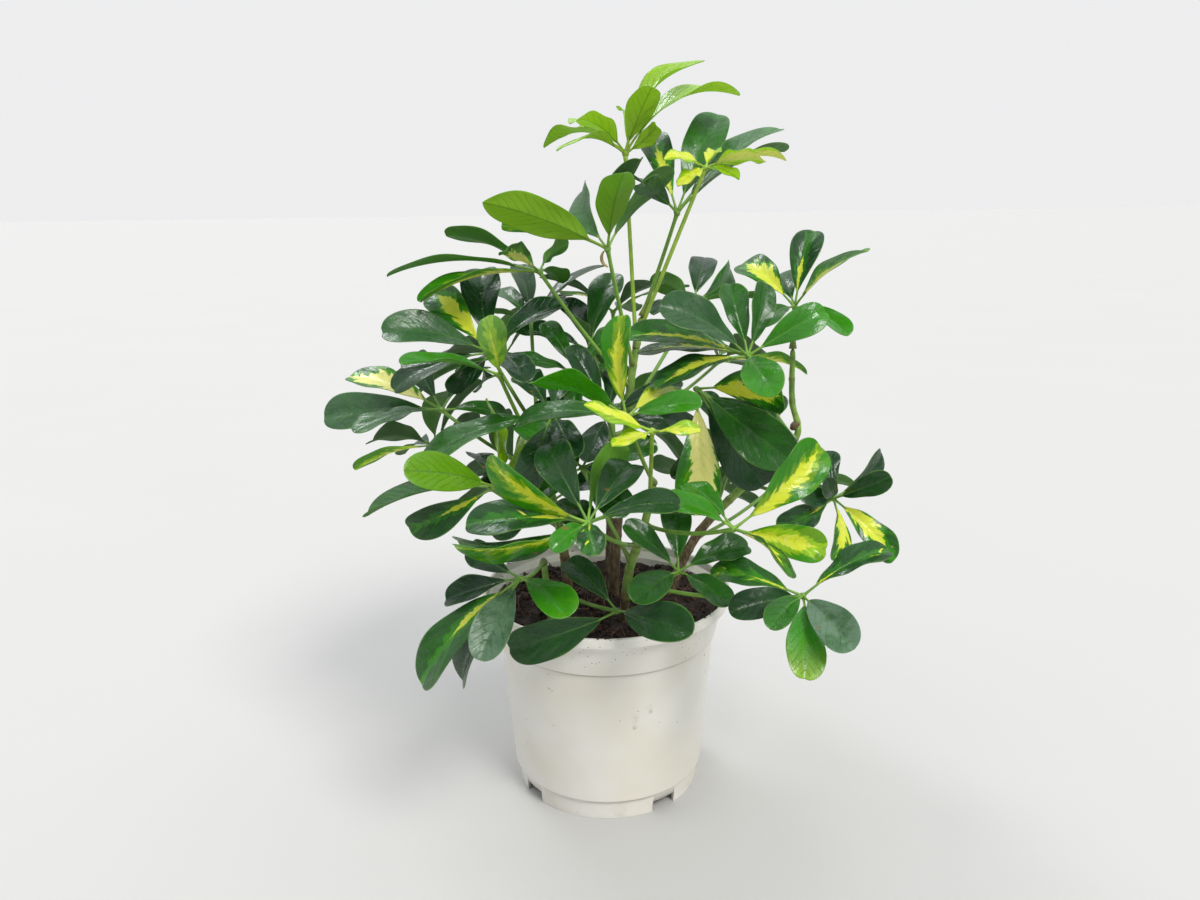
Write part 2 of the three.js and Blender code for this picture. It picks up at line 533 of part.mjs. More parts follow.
LEAVES.forEach((leaf, index) => {
  const up = facing(leaf);
  let body = frames[index];
  for (const [compass, rise, length, turn] of bladesOf(leaf)) {
    const tries = BENDS.map(([swing, lift, share]) => [compass + swing, rise + lift, length * share, turn]);
    const row = tries.find((near) => isClear(solid(leaflet(leaf, up, near, CLEAR)), leaf.name));
    if (!row) continue;
    place(solid(leaflet(leaf, up, row, SEAT)), leaf.name, true);
    body = body.add(solid(leaflet(leaf, up, row, 0)));
  }
  const finish = /young|top/.test(leaf.name) ? YOUNG_GREEN : LEAF_GREEN;
  plant.add(meshOf(leaf.name, whole(body), finish));
});

export default plant;
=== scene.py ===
import math
import random
from functools import reduce

import bpy
import numpy as np
from mathutils import Matrix, Vector, noise
from mathutils.kdtree import KDTree


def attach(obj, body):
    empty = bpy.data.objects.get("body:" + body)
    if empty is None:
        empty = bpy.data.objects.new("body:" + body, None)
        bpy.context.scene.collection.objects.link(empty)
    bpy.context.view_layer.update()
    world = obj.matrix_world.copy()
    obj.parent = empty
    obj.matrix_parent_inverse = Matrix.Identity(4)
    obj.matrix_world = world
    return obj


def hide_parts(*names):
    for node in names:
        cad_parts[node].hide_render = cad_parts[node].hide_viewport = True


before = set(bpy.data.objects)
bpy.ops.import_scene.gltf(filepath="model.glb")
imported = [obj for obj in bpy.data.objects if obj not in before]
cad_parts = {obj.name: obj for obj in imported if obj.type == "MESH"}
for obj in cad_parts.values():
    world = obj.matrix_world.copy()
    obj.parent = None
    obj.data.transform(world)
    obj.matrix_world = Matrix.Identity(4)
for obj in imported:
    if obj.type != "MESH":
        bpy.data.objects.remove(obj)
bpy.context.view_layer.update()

MM = 0.001
# Ranges for random turns, in radians
ANY_TURN = (0, 6.3)
FULL_TURN = (0, 6.2832)

# Pot, as in the part
RIM_R = 85
RIM_Z = 141
LIP_H = 6.5
LIP_T = 2.4
LIP_FLARE = 3
COLLAR_TOP_R = 79.4
COLLAR_BOTTOM_R = 75.6
COLLAR_Z = 111
BODY_TOP_R = 73.8
BODY_BOTTOM_R = 66.6
FOOT_R = 63.4
FOOT_H = 14
FLOOR_Z = 8.5
WALL = 1.8
STEP = 0.8
LEDGE = 0.15
DRAFT = 1
NOTCH_W = 18
NOTCH_H = 8
NOTCH_DEPTH = 12
NOTCH_COUNT = 4
NOTCH_TURN = 35.5
DRAIN_R = 5
DRAIN_PITCH_R = 44
# How finely the pot and its drains are turned here, and how round an edge is with no radius of its own
POT_SIDES = 180
POT_ROUND = 0.3
ROD_SIDES = 40

# Peat, as in the part
SOIL_Z = 130
SOIL_ROUGH = 2.2
SOIL_SLOPE = 0.035
SOIL_EDGE_R = 75.9
ROOT_DEPTH = 38
# How far the fine peat's side stays inside the pot's outer face
PEAT_GAP = 2.6

# Leaves, as in the part
BLADE_T = 0.8
STALK = 0.15
STALK_R = 0.7
WIDTH = 0.335
ARCH = 0.085
FOLD = 0.24
PETIOLE_ROOT_R = 1.7
PETIOLE_R = 1.2
SAG = 0.1
TIP_SHARE = 0.26
PLAIN_TIP_SHARE = 0.3
# How a leaf without a set face looks: so much along its petiole and so much straight up
FACE_ALONG = 0.8
FACE_UP = 0.6
# A ring's leaflets: their lift towards the leaf's face and how far it varies, the share of their
# length that is taken off at most, and the beats of both round the ring
RING_LIFT = 0.28
RING_SWAY = 0.12
RING_TRIM = 0.12
LIFT_BEAT = 2.4
TRIM_BEAT = 1.9
# The bends that a leaflet may have to stand clear, as swing and rise in degrees, each to both
# sides, and the share of its length that it keeps
BENDS = [
  (swing * across, rise * up, part)
  for swing, rise, part in (
    (0, 0, 1), (0, 6, 1), (7, 0, 1), (7, 6, 1), (0, 12, 1), (14, 0, 1), (12, 10, 0.94), (0, 18, 0.92),
    (20, 0, 0.92), (20, 12, 0.88), (0, 0, 0.8), (10, 8, 0.8), (0, 26, 0.85), (28, 0, 0.85),
    (0, 0, 0.66), (16, 12, 0.66), (0, 32, 0.7), (34, 0, 0.7))
  for up in ((1, -1) if rise else (1,)) for across in ((1, -1) if swing else (1,))
]
# How far a petiole may be bowed sideways, in mm, and how near a corner must be to count as found
BOWS = [0, 5, -5, 10, -10, 16, -16, 24, -24, 32, -32]
MATCH_MM = 0.1

# Each stem: its radii at the root and the tip, and the points that it grows through; 0 is its root
STEMS = {
  "stem_centre": [4.2, 2.2, [[3, 8, 0], [8, 8, 180], [14, 6, 235], [18, 2, 285], [25, 0, 326]]],
  "stem_left": [4, 2.2, [[-24, 0, 0], [-30, 0, 175], [-40, -4, 225], [-44, -8, 262]]],
  "stem_right": [4, 1.7, [[32, 8, 0], [62, 14, 168], [104, 20, 212], [133, 23, 240], [129, 25, 264],
    [128, 25, 300]]],
  "stem_front": [3.8, 2.2, [[10, -30, 0], [14, -42, 165], [24, -46, 200], [30, -46, 228]]],
  "stem_low_left": [3.2, 2, [[-32, -30, 0], [-38, -40, 150], [-40, -44, 176]]],
  "stem_back": [4, 2.2, [[2, 36, 0], [4, 52, 170], [6, 62, 225], [4, 66, 275]]],
}


def grown(name, stem, at, hub, looks, *blades, **more):
    """A row of the table of leaves."""
    return dict(more, name="leaf_" + name, stem="stem_" + stem, at=at, hub=hub, looks=looks, blades=blades)


# Each leaf: its stem and how far up it, its hub, how its leaflets look, one letter for each in order
# or one for all, and its leaflets as compass direction, rise, length from the hub and turn on the
# stalk. What only some have: ring, a number of alike leaflets instead, their length and turn; face,
# the way its top faces; arch, how much it arches; close, where others are so close by that it is kept
# slimmer and nearer to the solid; over, its leaflets whose top is on the side that the solid's fold
# opens away from; and scraps, dried scraps that hang on it, as place in mm and bend in degrees.
LEAVES = [
  grown("top", "centre", 0.91, (15, 5, 426), "yyyyyyyy", (-135, 20, 50, 10), (145, 5, 64, -10),
    (-145, 0, 50), (-65, 45, 50, -15), (15, 40, 75, 25), (15, 25, 84, 20), (95, 45, 42, 30),
    (-30, 40, 30, -70), face=(90, 80), arch=0.18),
  grown("upper_right", "centre", 1.0, (47, 0, 390), "kvgkkd", (55, 50, 80, 10), (110, 50, 64, -35),
    (-120, 20, 52, 45), (25, 40, 92), (30, 30, 95, -15), (150, 30, 50), close=True, over=(2,)),
  grown("upper_right_young", "centre", 0.955, (62, -20, 416), "YYYYyY", (-145, 10, 32, -20),
    (-135, -15, 28, -10), (-40, 5, 42, -30), (-5, 0, 48, -10), (-55, -15, 30, 20), (70, 25, 28, -15)),
  grown("upper_centre", "centre", 0.86, (3, -30, 370), "llkdwk", (-155, 20, 82, 30), (-80, 40, 66, 10),
    (25, 45, 64, -10), (-55, 45, 60, 35), (165, 10, 68, 5), (105, 30, 70, -80), face=(90, 62), close=True,
    scraps=((1, -30, 369, 13),)),
  grown("upper_left", "centre", 0.8, (-40, 0, 355), "kSgvgg", (-170, 0, 95, 5), (-155, -5, 80, -5),
    (165, 20, 68, 40), (-115, 20, 45, 10), (65, 20, 44, -50), (75, 0, 52, 10), close=True),
  grown("right_high", "right", 1.0, (128, 25, 328), "sxVgbg", (55, 60, 58, 10), (-50, 35, 66, -5),
    (120, 25, 64, -30), (-130, -10, 46, -20), (-60, -15, 52, 15), (100, 30, 48, -10), over=(1,)),
  grown("right_mid", "right", 0.74, (83, -65, 310), "hggeevvv", (-160, 30, 64, 5), (105, 55, 48),
    (60, 60, 46, 30), (0, 30, 52, 15), (-85, -10, 60, 15), (180, 10, 72, 20), (170, 0, 64, 35),
    (-165, -10, 58, 30), face=(-90, 40)),
  grown("centre", "front", 1.0, (12, -90, 280), "bgSBb", (-140, 25, 70, 70), (165, -5, 66, 15),
    (100, 80, 58, -40), (45, 15, 45, -15), (-25, 15, 46), face=(-90, 50), over=(0,)),
  grown("centre_young", "front", 0.9, (25, -115, 278), "YYY", (-155, 25, 44, 5), (-135, 10, 32),
    (-50, 10, 36), arch=0.02),
  grown("left_mid", "left", 0.94, (-72, -15, 306), "hVddddd", (-155, 15, 70, 10), (140, 35, 65),
    (100, 45, 70, 10), (35, 25, 62, -10), (-155, -15, 66, 15), (-120, -15, 48, -100), (-60, -10, 54, -30),
    face=(-110, 40)),
  grown("left_spotted", "left", 0.82, (-63, -50, 298), "bpd", (-155, 10, 60, 60), (-95, 50, 50, 30),
    (125, -10, 44), face=(-90, 30)),
  grown("left_low", "left", 0.76, (-107, 0, 266), "Chhddg", (160, 15, 72, 20), (-170, 0, 76, -10),
    (-145, -10, 64, 5), (120, 30, 60), (60, 25, 55), (20, -10, 46), face=(-120, 50)),
  grown("left_inner", "left", 0.7, (-32, -40, 271), "gdddd", (170, -15, 92, 20), (130, 10, 55),
    (-110, -40, 60), (-70, -20, 48), (80, 20, 46), face=(-100, 50)),
  grown("low_left", "left", 0.62, (-69, -50, 228), "oyygsd", (-140, 20, 65, -25), (100, 50, 66, 95),
    (75, 45, 70, 105), (170, -15, 88, 40), (-175, -25, 60, -60), (110, 10, 52, 50), face=(-120, 45)),
  grown("front_centre", "front", 0.7, (-10, -130, 232), "GduddtGtbtg", (180, 35, 64, -70),
    (115, 30, 64, -10), (70, 20, 70, -100), (55, 20, 58, 5), (-15, 15, 52, -20), (-175, 5, 66, 20),
    (180, -10, 74, -95), (165, -20, 84, -90), (-125, -10, 32, -10), (-85, -5, 40, -5), (10, 0, 64, -35),
    face=(-95, 45), scraps=((-8, -128, 229, -16),)),
  grown("front_right", "front", 0.8, (70, -115, 222), "SSebv", (25, 35, 70, 35), (-25, -5, 52, 45),
    (125, 20, 46, 5), (-160, 15, 48, 15), (-60, -10, 54, -40), face=(-70, 50)),
  grown("right_small", "right", 0.56, (149, -20, 208), "dddddVtV", (85, 50, 34, -5), (-140, 15, 36),
    (-125, 40, 32, -35), (30, 30, 50, 45), (-40, 30, 44, 20), (-30, -40, 55, 10), (-140, -5, 50, -20),
    (-100, -40, 46, -25), face=(-70, 30)),
  grown("right_low", "front", 0.5, (117, -85, 168), "dgiFtq", (-155, 0, 52, 10), (-125, -10, 46, 20),
    (-100, -20, 60, 5), (-75, -5, 60, 40), (10, 25, 60, -40), (155, 5, 60, 10), face=(-70, 40)),
  grown("left_front_low", "low_left", 1.0, (-50, -100, 188), "dqdfed", (170, -20, 48, 20),
    (-170, -45, 86, 15), (160, -60, 84, 20), (-110, -25, 60, -20), (-60, 0, 60, -35), (135, 8, 48),
    face=(-120, 30)),
  grown("front_low", "low_left", 0.8, (6, -72, 154), "ddd", (175, -25, 80, -60), (-55, 10, 72, 25),
    (130, 20, 52), face=(-90, 60)),
  grown("right_inner", "right", 0.66, (58, -25, 283), "CgdVd", (-95, -65, 80, 25), (-45, -25, 82, 35),
    (5, -55, 80, 40), (-60, 0, 80, -70), (10, -35, 64, 10), face=(-60, 20), over=(3,)),
  grown("left_back_high", "left", 1.0, (-49, 35, 320), "dgddg", (105, 40, 54), (125, 20, 50, -20),
    (40, 35, 70, 20), (60, 40, 60, 15), (-170, 5, 50), close=True),
  grown("centre_back_high", "back", 1.0, (-9, 45, 297), "gdggd", (65, 50, 65), (115, 45, 60, 25),
    (90, 40, 52, -25), (-115, 40, 44, -25), (170, 15, 56)),
  grown("right_back_high", "centre", 0.73, (62, 40, 330), "dggdg", (75, 30, 56, -10), (125, 15, 50, 70),
    (55, 20, 60, 80), (-130, -5, 46), (0, 5, 54)),
  grown("inner_centre", "centre", 0.56, (2, -12, 262), "d", ring=(6, 58, 15), face=(-90, 60), close=True),
  grown("inner_right", "right", 0.42, (84, -12, 236), "d", ring=(6, 62, 40), face=(-80, 60), close=True),
  grown("inner_low", "front", 0.4, (44, -64, 176), "g", ring=(5, 52, 10), face=(-80, 60)),
  grown("inner_left", "left", 0.46, (-34, -30, 212), "d", ring=(5, 56, 30), face=(-110, 60)),
  grown("inner_high", "left", 0.88, (-18, 8, 288), "g", ring=(5, 50, 50), face=(-90, 60), close=True),
  grown("inner_front", "front", 0.6, (-14, -52, 240), "g", ring=(5, 54, 5), face=(-90, 55)),
  grown("back_high", "back", 0.92, (8, 96, 318), "dsdgdv", ring=(6, 68, 20), close=True),
  grown("back_left_high", "back", 0.84, (-74, 92, 286), "dgdVds", ring=(6, 70, 0)),
  grown("back_right_high", "back", 0.76, (88, 96, 280), "vddSdg", ring=(6, 70, 45)),
  grown("back_left", "left", 0.54, (-124, 62, 226), "dgdddS", ring=(6, 66, 10)),
  grown("back_right", "right", 0.34, (133, 66, 196), "dsdgdd", ring=(6, 58, 25)),
  grown("back_middle", "back", 0.67, (6, 108, 240), "SdgddV", ring=(6, 68, 30)),
  grown("back_left_low", "back", 0.58, (-70, 114, 190), "ddgdsd", ring=(6, 66, 5)),
  grown("back_right_low", "back", 0.49, (72, 117, 178), "dgddvd", ring=(6, 64, 50)),
]

# What each letter stands for: tone from deep to young green, half width of the yellow in mm, how
# far along the leaflet it reaches, and how much pale film lies on the leaflet, a real dust that
# also serves as painted sheen
LETTERS = {
  "d": (0.05, 0, 0.5, 0.03), "g": (0.33, 0, 0.5, 0.04), "b": (0.56, 0, 0.5, 0), "l": (0.75, 0, 0.5, 0),
  "y": (0.9, 0, 0.5, 0), "Y": (0.92, 3.5, 1.1, 0), "s": (0.12, 1.7, 0.6, 0.04), "S": (0.56, 3.4, 0.88, 0),
  "v": (0.2, 2.4, 0.84, 0.1), "V": (0.26, 4.8, 0.9, 0), "B": (0.6, 5.6, 0.98, 0),
  "C": (0.3, 7.6, 1.05, 0), "w": (0.45, 1.4, 0.5, 0.4), "x": (0.42, 2.4, 0.72, 0.25),
  "p": (0.7, 1, 0.95, 0.6), "t": (0.1, 1.6, 0.36, 0.03), "f": (0.14, 0, 0.5, 0.85),
  "h": (0.18, 0, 0.5, 0.34), "k": (0.36, 0, 0.5, 0.36), "o": (0.79, 0, 0.5, 0), "u": (0.6, 0, 0.5, 0),
  "e": (0.46, 0, 0.5, 0.03), "G": (0.6, 3.1, 0.94, 0), "q": (0.24, 1.9, 0.5, 0.15),
  "i": (0.56, 0, 0.5, 0.22), "F": (0.2, 0, 0.5, 1.7),
}
YOUNG = "lyY"
# How much younger a leaflet's tip looks than its base
TIP_TONES = {"i": 0.34, "e": 0.14}

# Fine shape of a leaflet. Ranges are those of random draws, in mm, degrees and shares.
ROWS = 27
ROW_POWER = 1.6
ACROSS = [-1, -0.95, -0.82, -0.64, -0.44, -0.25, -0.09, 0.09, 0.25, 0.44, 0.64, 0.82, 0.95, 1]
BASE_POWER = 1.0
TIP_POWER = 0.45
YOUNG_BASE_POWER = 0.85
YOUNG_TIP_POWER = 0.72
BASE_RANGE = (-0.12, 0.15)
TIP_RANGE = (-0.06, 0.05)
PLUMP = (1.02, 1.15)
SHADED_PLUMP = (1.12, 1.26)
CLOSE_PLUMP = (0.92, 1.02)
CLOSE_SWAY = 0.3
WAVE = (0.4, 1.3)
YOUNG_WAVE = (0.9, 1.9)
RIPPLES = (1.2, 2.4)
TWIST = (-9, 9)
MORE_FOLD = (0.02, 0.16)
DROOP = (-0.04, 0.2)
BOW = (-1.5, 1.5)
CURL = (-2.5, 1)
NOTCH = (-2, 1.4)
SHADE = (-0.07, 0.07)
REACH = (-0.08, 0.08)
LOBE_SIZE = 0.035
LOBE_PACE = 5.1
TIP_PART = 0.3
LEAST_HALF = 0.25
NOTCH_REACH = 1.8
VEIN_LEAN = 1.5
THICK_MIDDLE = 0.6
THICK_EDGE = 0.34
MIDRIB_H = 0.75
MIDRIB_W = 0.9
GROOVE_H = 0.3
GROOVE_W = 1.1
STALK_SIDES = 8
STALK_STEPS = 7
STALK_FROM = 0.012
STALK_TO = STALK * 1.35
STALK_SINK = 0.25
STALK_FINE_R = 0.72
STALK_SWELLING = 0.5
STALK_END_R = 0.4

# Fine shape of a petiole, its hub and the scraps; swellings say how high and how long they are
PETIOLE_SIDES = 10
PETIOLE_STEPS = 26
PETIOLE_TAPER = 0.15
SHEATH = (1.3, 5)
HUB_SWELLING = (0.55, 2.6)
HUB_RADII = (2.3, 2.3, 1.9)
BROWN_REACH = 9
SCRAP_SIDES = 6
SCRAP_STEPS = 10
SCRAP_STEP = 1.3
SCRAP_THIN = 0.25
SCRAP_THICK = 0.8

# Fine shape of a stem: its scars, as how far apart, high and long they are, its bark's unevenness,
# and the brown node on the right stem
STEM_SIDES = 16
STEM_STEP = 1.6
NODE_PITCH = 15
SCAR_SIZE = (0.35, 1.1)
BARK_ROUGH = 0.22
KNOT_AT = (131.5, 23.5, 247)
KNOT_RADII = (3.1, 2.8, 4.2)


def vec(*xyz):
    return np.array(xyz, float)


def unit(v):
    return v / np.linalg.norm(v)


def heading(compass, rise):
    """Direction from a compass angle and a rise, both in degrees."""
    turn, up = math.radians(compass), math.radians(rise)
    return vec(math.cos(up) * math.cos(turn), math.cos(up) * math.sin(turn), math.sin(up))


def about_axis(radius, angle):
    """The x and y of a place round the pot's axis."""
    return radius * math.cos(angle), radius * math.sin(angle)


def turned(v, axis, angle):
    """v turned about a unit axis by an angle in radians."""
    c, s = math.cos(angle), math.sin(angle)
    return v * c + np.cross(axis, v) * s + axis * (axis @ v) * (1 - c)


def smoothstep(low, high, x):
    t = np.clip((x - low) / (high - low), 0, 1)
    return t * t * (3 - 2 * t)


class Curve:
    """A curve as many points, read by the share of its length."""

    def __init__(self, points):
        self.points = np.array(points)
        steps = np.linalg.norm(np.diff(self.points, axis=0), axis=1)
        self.reach = np.concatenate([[0], np.cumsum(steps)])
        self.length = self.reach[-1]

    def at(self, share):
        where = np.asarray(share) * self.length
        return np.stack([np.interp(where, self.reach, self.points[:, k]) for k in range(3)], -1)


def smooth_points(knots, steps=200):
    """Points of a centripetal Catmull-Rom curve through the knots."""
    knots = [np.array(k, float) for k in knots]
    knots = [2 * knots[0] - knots[1]] + knots + [2 * knots[-1] - knots[-2]]
    spans = len(knots) - 3
    points = []
    for i in range(steps + 1):
        where = spans * i / steps
        first = min(int(where), spans - 1)
        t = where - first
        p0, p1, p2, p3 = knots[first:first + 4]
        d0, d1, d2 = [np.linalg.norm(b - a) ** 0.5 for a, b in ((p0, p1), (p1, p2), (p2, p3))]
        t1 = ((p1 - p0) / d0 - (p2 - p0) / (d0 + d1) + (p2 - p1) / d1) * d1
        t2 = ((p2 - p1) / d1 - (p3 - p1) / (d1 + d2) + (p3 - p2) / d2) * d1
        c2, c3 = 3 * (p2 - p1) - 2 * t1 - t2, 2 * (p1 - p2) + t1 + t2
        points.append(p1 + t1 * t + c2 * t * t + c3 * t ** 3)
    return points


def stem_curve(name):
    """The middle line of a stem."""
    knots = [[x, y, z or SOIL_Z - ROOT_DEPTH] for x, y, z in STEMS[name][2]]
    return Curve(smooth_points(knots))


STEM_CURVES = {name: stem_curve(name) for name in STEMS}


def root_of(leaf):
    return STEM_CURVES[leaf["stem"]].at(leaf["at"])


def petiole_curve(leaf, bow):
    """A petiole's course from its root to its hub, sagging a little and bowed sideways."""
    root, hub = root_of(leaf), vec(*leaf["hub"])
    reach = math.hypot(*(hub - root)[:2])
    aside = unit(np.cross(hub - root, vec(0, 0, 1)))
    middle = (root + hub) / 2 + aside * bow - vec(0, 0, SAG * reach)
    t = np.linspace(0, 1, 201)[:, None]
    return Curve((1 - t) ** 2 * root + 2 * t * (1 - t) * middle + t * t * hub)


def facing(leaf):
    """The way a leaf's top faces."""
    if "face" in leaf:
        return heading(*leaf["face"])
    return unit(FACE_ALONG * unit(vec(*leaf["hub"]) - root_of(leaf)) + vec(0, 0, FACE_UP))


def blades_of(leaf):
    """A leaf's leaflets, as listed or evenly round its facing."""
    if "ring" not in leaf:
        return leaf["blades"]
    count, most, turn = leaf["ring"]
    up = facing(leaf)
    across = unit(np.cross(vec(0, 0, 1), up))
    along = np.cross(up, across)
    blades = []
    for i in range(count):
        angle = math.radians(turn + i * 360 / count)
        tilt = RING_LIFT + RING_SWAY * math.sin(i * LIFT_BEAT + turn)
        way = unit(across * math.cos(angle) + along * math.sin(angle) + up * tilt)
        compass = math.degrees(math.atan2(way[1], way[0]))
        length = most * (1 - RING_TRIM * abs(math.sin(i * TRIM_BEAT + turn)))
        blades.append([compass, math.degrees(math.asin(way[2])), length])
    return blades


class Leaflet:
    """The middle line of a leaflet and the directions along it."""

    def __init__(self, leaf, up, compass, rise, length, turn=0):
        self.hub, self.way, self.length = vec(*leaf["hub"]), heading(compass, rise), length
        lift = unit(up - self.way * (up @ self.way))
        self.lift = turned(lift, self.way, math.radians(turn))
        self.arch = leaf.get("arch", ARCH) * length

    def midrib(self, t):
        """Middle, side and top directions at a share of the length."""
        middle = self.hub + self.way * t * self.length + self.lift * 4 * self.arch * t * (1 - t)
        ahead = unit(self.way * self.length + self.lift * 4 * self.arch * (1 - 2 * t))
        top = unit(self.lift - ahead * (self.lift @ ahead))
        return middle, np.cross(ahead, top), top


def solid_tree(node):
    """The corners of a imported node, in mm, ready to be searched."""
    corners = [v.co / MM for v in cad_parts[node].data.vertices]
    tree = KDTree(len(corners))
    for index, corner in enumerate(corners):
        tree.insert(corner, index)
    tree.balance()
    return tree


def tip_corners(leaflet, share):
    """The corners that a leaflet's tip has in the part."""
    middle, side, top = leaflet.midrib(1)
    half = share * WIDTH / 2 * leaflet.length
    corners = []
    for level in (BLADE_T / 2, -BLADE_T / 2):
        for place in (-1, 0, 1):
            rise = abs(place) * FOLD * (half - STALK_R) + level
            corners.append(middle + side * place * half + top * rise)
    return corners


def placed_leaflets(leaf, tree):
    """Each leaflet of a leaf as bent in the part, with its number; one that isn't there is left out."""
    up = facing(leaf)
    share = PLAIN_TIP_SHARE if "ring" in leaf else TIP_SHARE
    found = []
    for number, (compass, rise, length, *turn) in enumerate(blades_of(leaf)):
        for swing, lift, part in BENDS:
            leaflet = Leaflet(leaf, up, compass + swing, rise + lift, length * part, *turn)
            if all(tree.find(c)[2] < MATCH_MM for c in tip_corners(leaflet, share)):
                found.append((number, leaflet))
                break
    return found


def placed_petiole(leaf, tree):
    """A petiole's curve as bowed in the part: the one with the most corners round it."""
    radius = PETIOLE_ROOT_R + (PETIOLE_R - PETIOLE_ROOT_R) * 2 / 3

    def corners_round(bow):
        centre = petiole_curve(leaf, bow).at(2 / 3)
        return sum(abs(d - radius) < MATCH_MM for _, _, d in tree.find_range(centre, 2 * radius))

    return petiole_curve(leaf, max(BOWS, key=corners_round))


def in_scene(name, data):
    """A new object in the scene."""
    made = bpy.data.objects.new(name, data)
    bpy.context.scene.collection.objects.link(made)
    return made


# What each vertex tells the materials: how far along the piece it is, how far out from the midrib,
# where it is in the pattern of side veins and how far from the edge, in mm; the leaflet's tone,
# yellow, reach and film, a pale dust that is also painted sheen, as in LETTERS, and its seed; 1 on an
# underside; how old and brown it looks; and what kind of bit it belongs to, such as a scar, a scrap,
# a fibre or a chip
VALUES = ("along", "out", "vein", "edge", "tone", "yellow", "reach", "film", "seed", "under", "age",
          "kind")


class Shape:
    """Gathers one piece's vertices in mm, its faces and the values that its materials read."""

    def __init__(self):
        self.points, self.faces, self.slots = [], [], []
        self.values = {name: [] for name in VALUES}
        self.count = 0

    def add(self, points, faces, slot=0, **values):
        points = np.asarray(points, float).reshape(-1, 3)
        self.points.append(points)
        self.faces += [tuple(i + self.count for i in face) for face in faces]
        self.slots += [slot] * len(faces)
        for name in VALUES:
            value = np.broadcast_to(values.get(name, 0.0), len(points))
            self.values[name].append(value)
        self.count += len(points)

    def build(self, name, materials=()):
        mesh = bpy.data.meshes.new(name)
        points = np.concatenate(self.points) * MM
        mesh.from_pydata(points.tolist(), [], self.faces)
        mesh.polygons.foreach_set("material_index", self.slots)
        mesh.polygons.foreach_set("use_smooth", [True] * len(self.faces))
        for value_name, parts in self.values.items():
            values = np.concatenate(parts).astype(np.float32)
            if values.any():
                attribute = mesh.attributes.new(value_name, "FLOAT", "POINT")
                attribute.data.foreach_set("value", values)
        for material in materials:
            mesh.materials.append(material)
        mesh.update()
        return in_scene(name, mesh)


def stand_for(node, piece):
    """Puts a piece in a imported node's place."""
    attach(piece, "root")
    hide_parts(node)


def rings(points, radii, sides):
    """Rings of vertices round a line of points, each turned no more than it has to be."""
    ahead = np.gradient(points, axis=0)
    side = unit(np.cross(ahead[0], vec(0.31, 0.17, 0.93)))
    out = []
    angles = np.linspace(0, 2 * math.pi, sides, endpoint=False)
    for middle, way, radius in zip(points, ahead, radii):
        way = unit(way)
        side = unit(side - way * (side @ way))
        other = np.cross(way, side)
        ring = np.outer(np.cos(angles), side) + np.outer(np.sin(angles), other)
        out.append(middle + ring * np.reshape(radius, (-1, 1)))
    return np.array(out)


def band_faces(rows, sides, first=0):
    """Faces between rings of vertices that follow each other."""
    faces = []
    for start in range(first, first + (rows - 1) * sides, sides):
        for k in range(sides):
            a, b = start + k, start + (k + 1) % sides
            faces.append((a, b, b + sides, a + sides))
    return faces


def tube_faces(rows, sides):
    """Faces of a closed tube."""
    faces = band_faces(rows, sides)
    faces.append(tuple(range(sides))[::-1])
    faces.append(tuple((rows - 1) * sides + k for k in range(sides)))
    return faces


def add_tube(shape, points, radii, sides, slot=0, **values):
    """A closed tube round a line of points; a value may be given for each point."""
    values = {name: np.repeat(value, sides) if np.ndim(value) else value for name, value in values.items()}
    shape.add(rings(points, radii, sides), tube_faces(len(points), sides), slot, **values)


def blade_faces():
    """Faces of a thin closed blade: its top grid, its bottom grid and the rim between them."""
    cols = len(ACROSS)
    low = ROWS * cols
    faces = []
    for i in range(ROWS - 1):
        for j in range(cols - 1):
            a, b = i * cols + j, (i + 1) * cols + j
            faces.append((a, a + 1, b + 1, b))
            faces.append((low + a, low + b, low + b + 1, low + a + 1))
        left, right = i * cols, i * cols + cols - 1
        faces.append((left, left + cols, low + left + cols, low + left))
        faces.append((right, low + right, low + right + cols, right + cols))
    end = (ROWS - 1) * cols
    for j in range(cols - 1):
        faces.append((j, low + j, low + j + 1, j + 1))
        faces.append((end + j, end + j + 1, low + end + j + 1, low + end + j))
    return faces


BLADE_FACES = blade_faces()


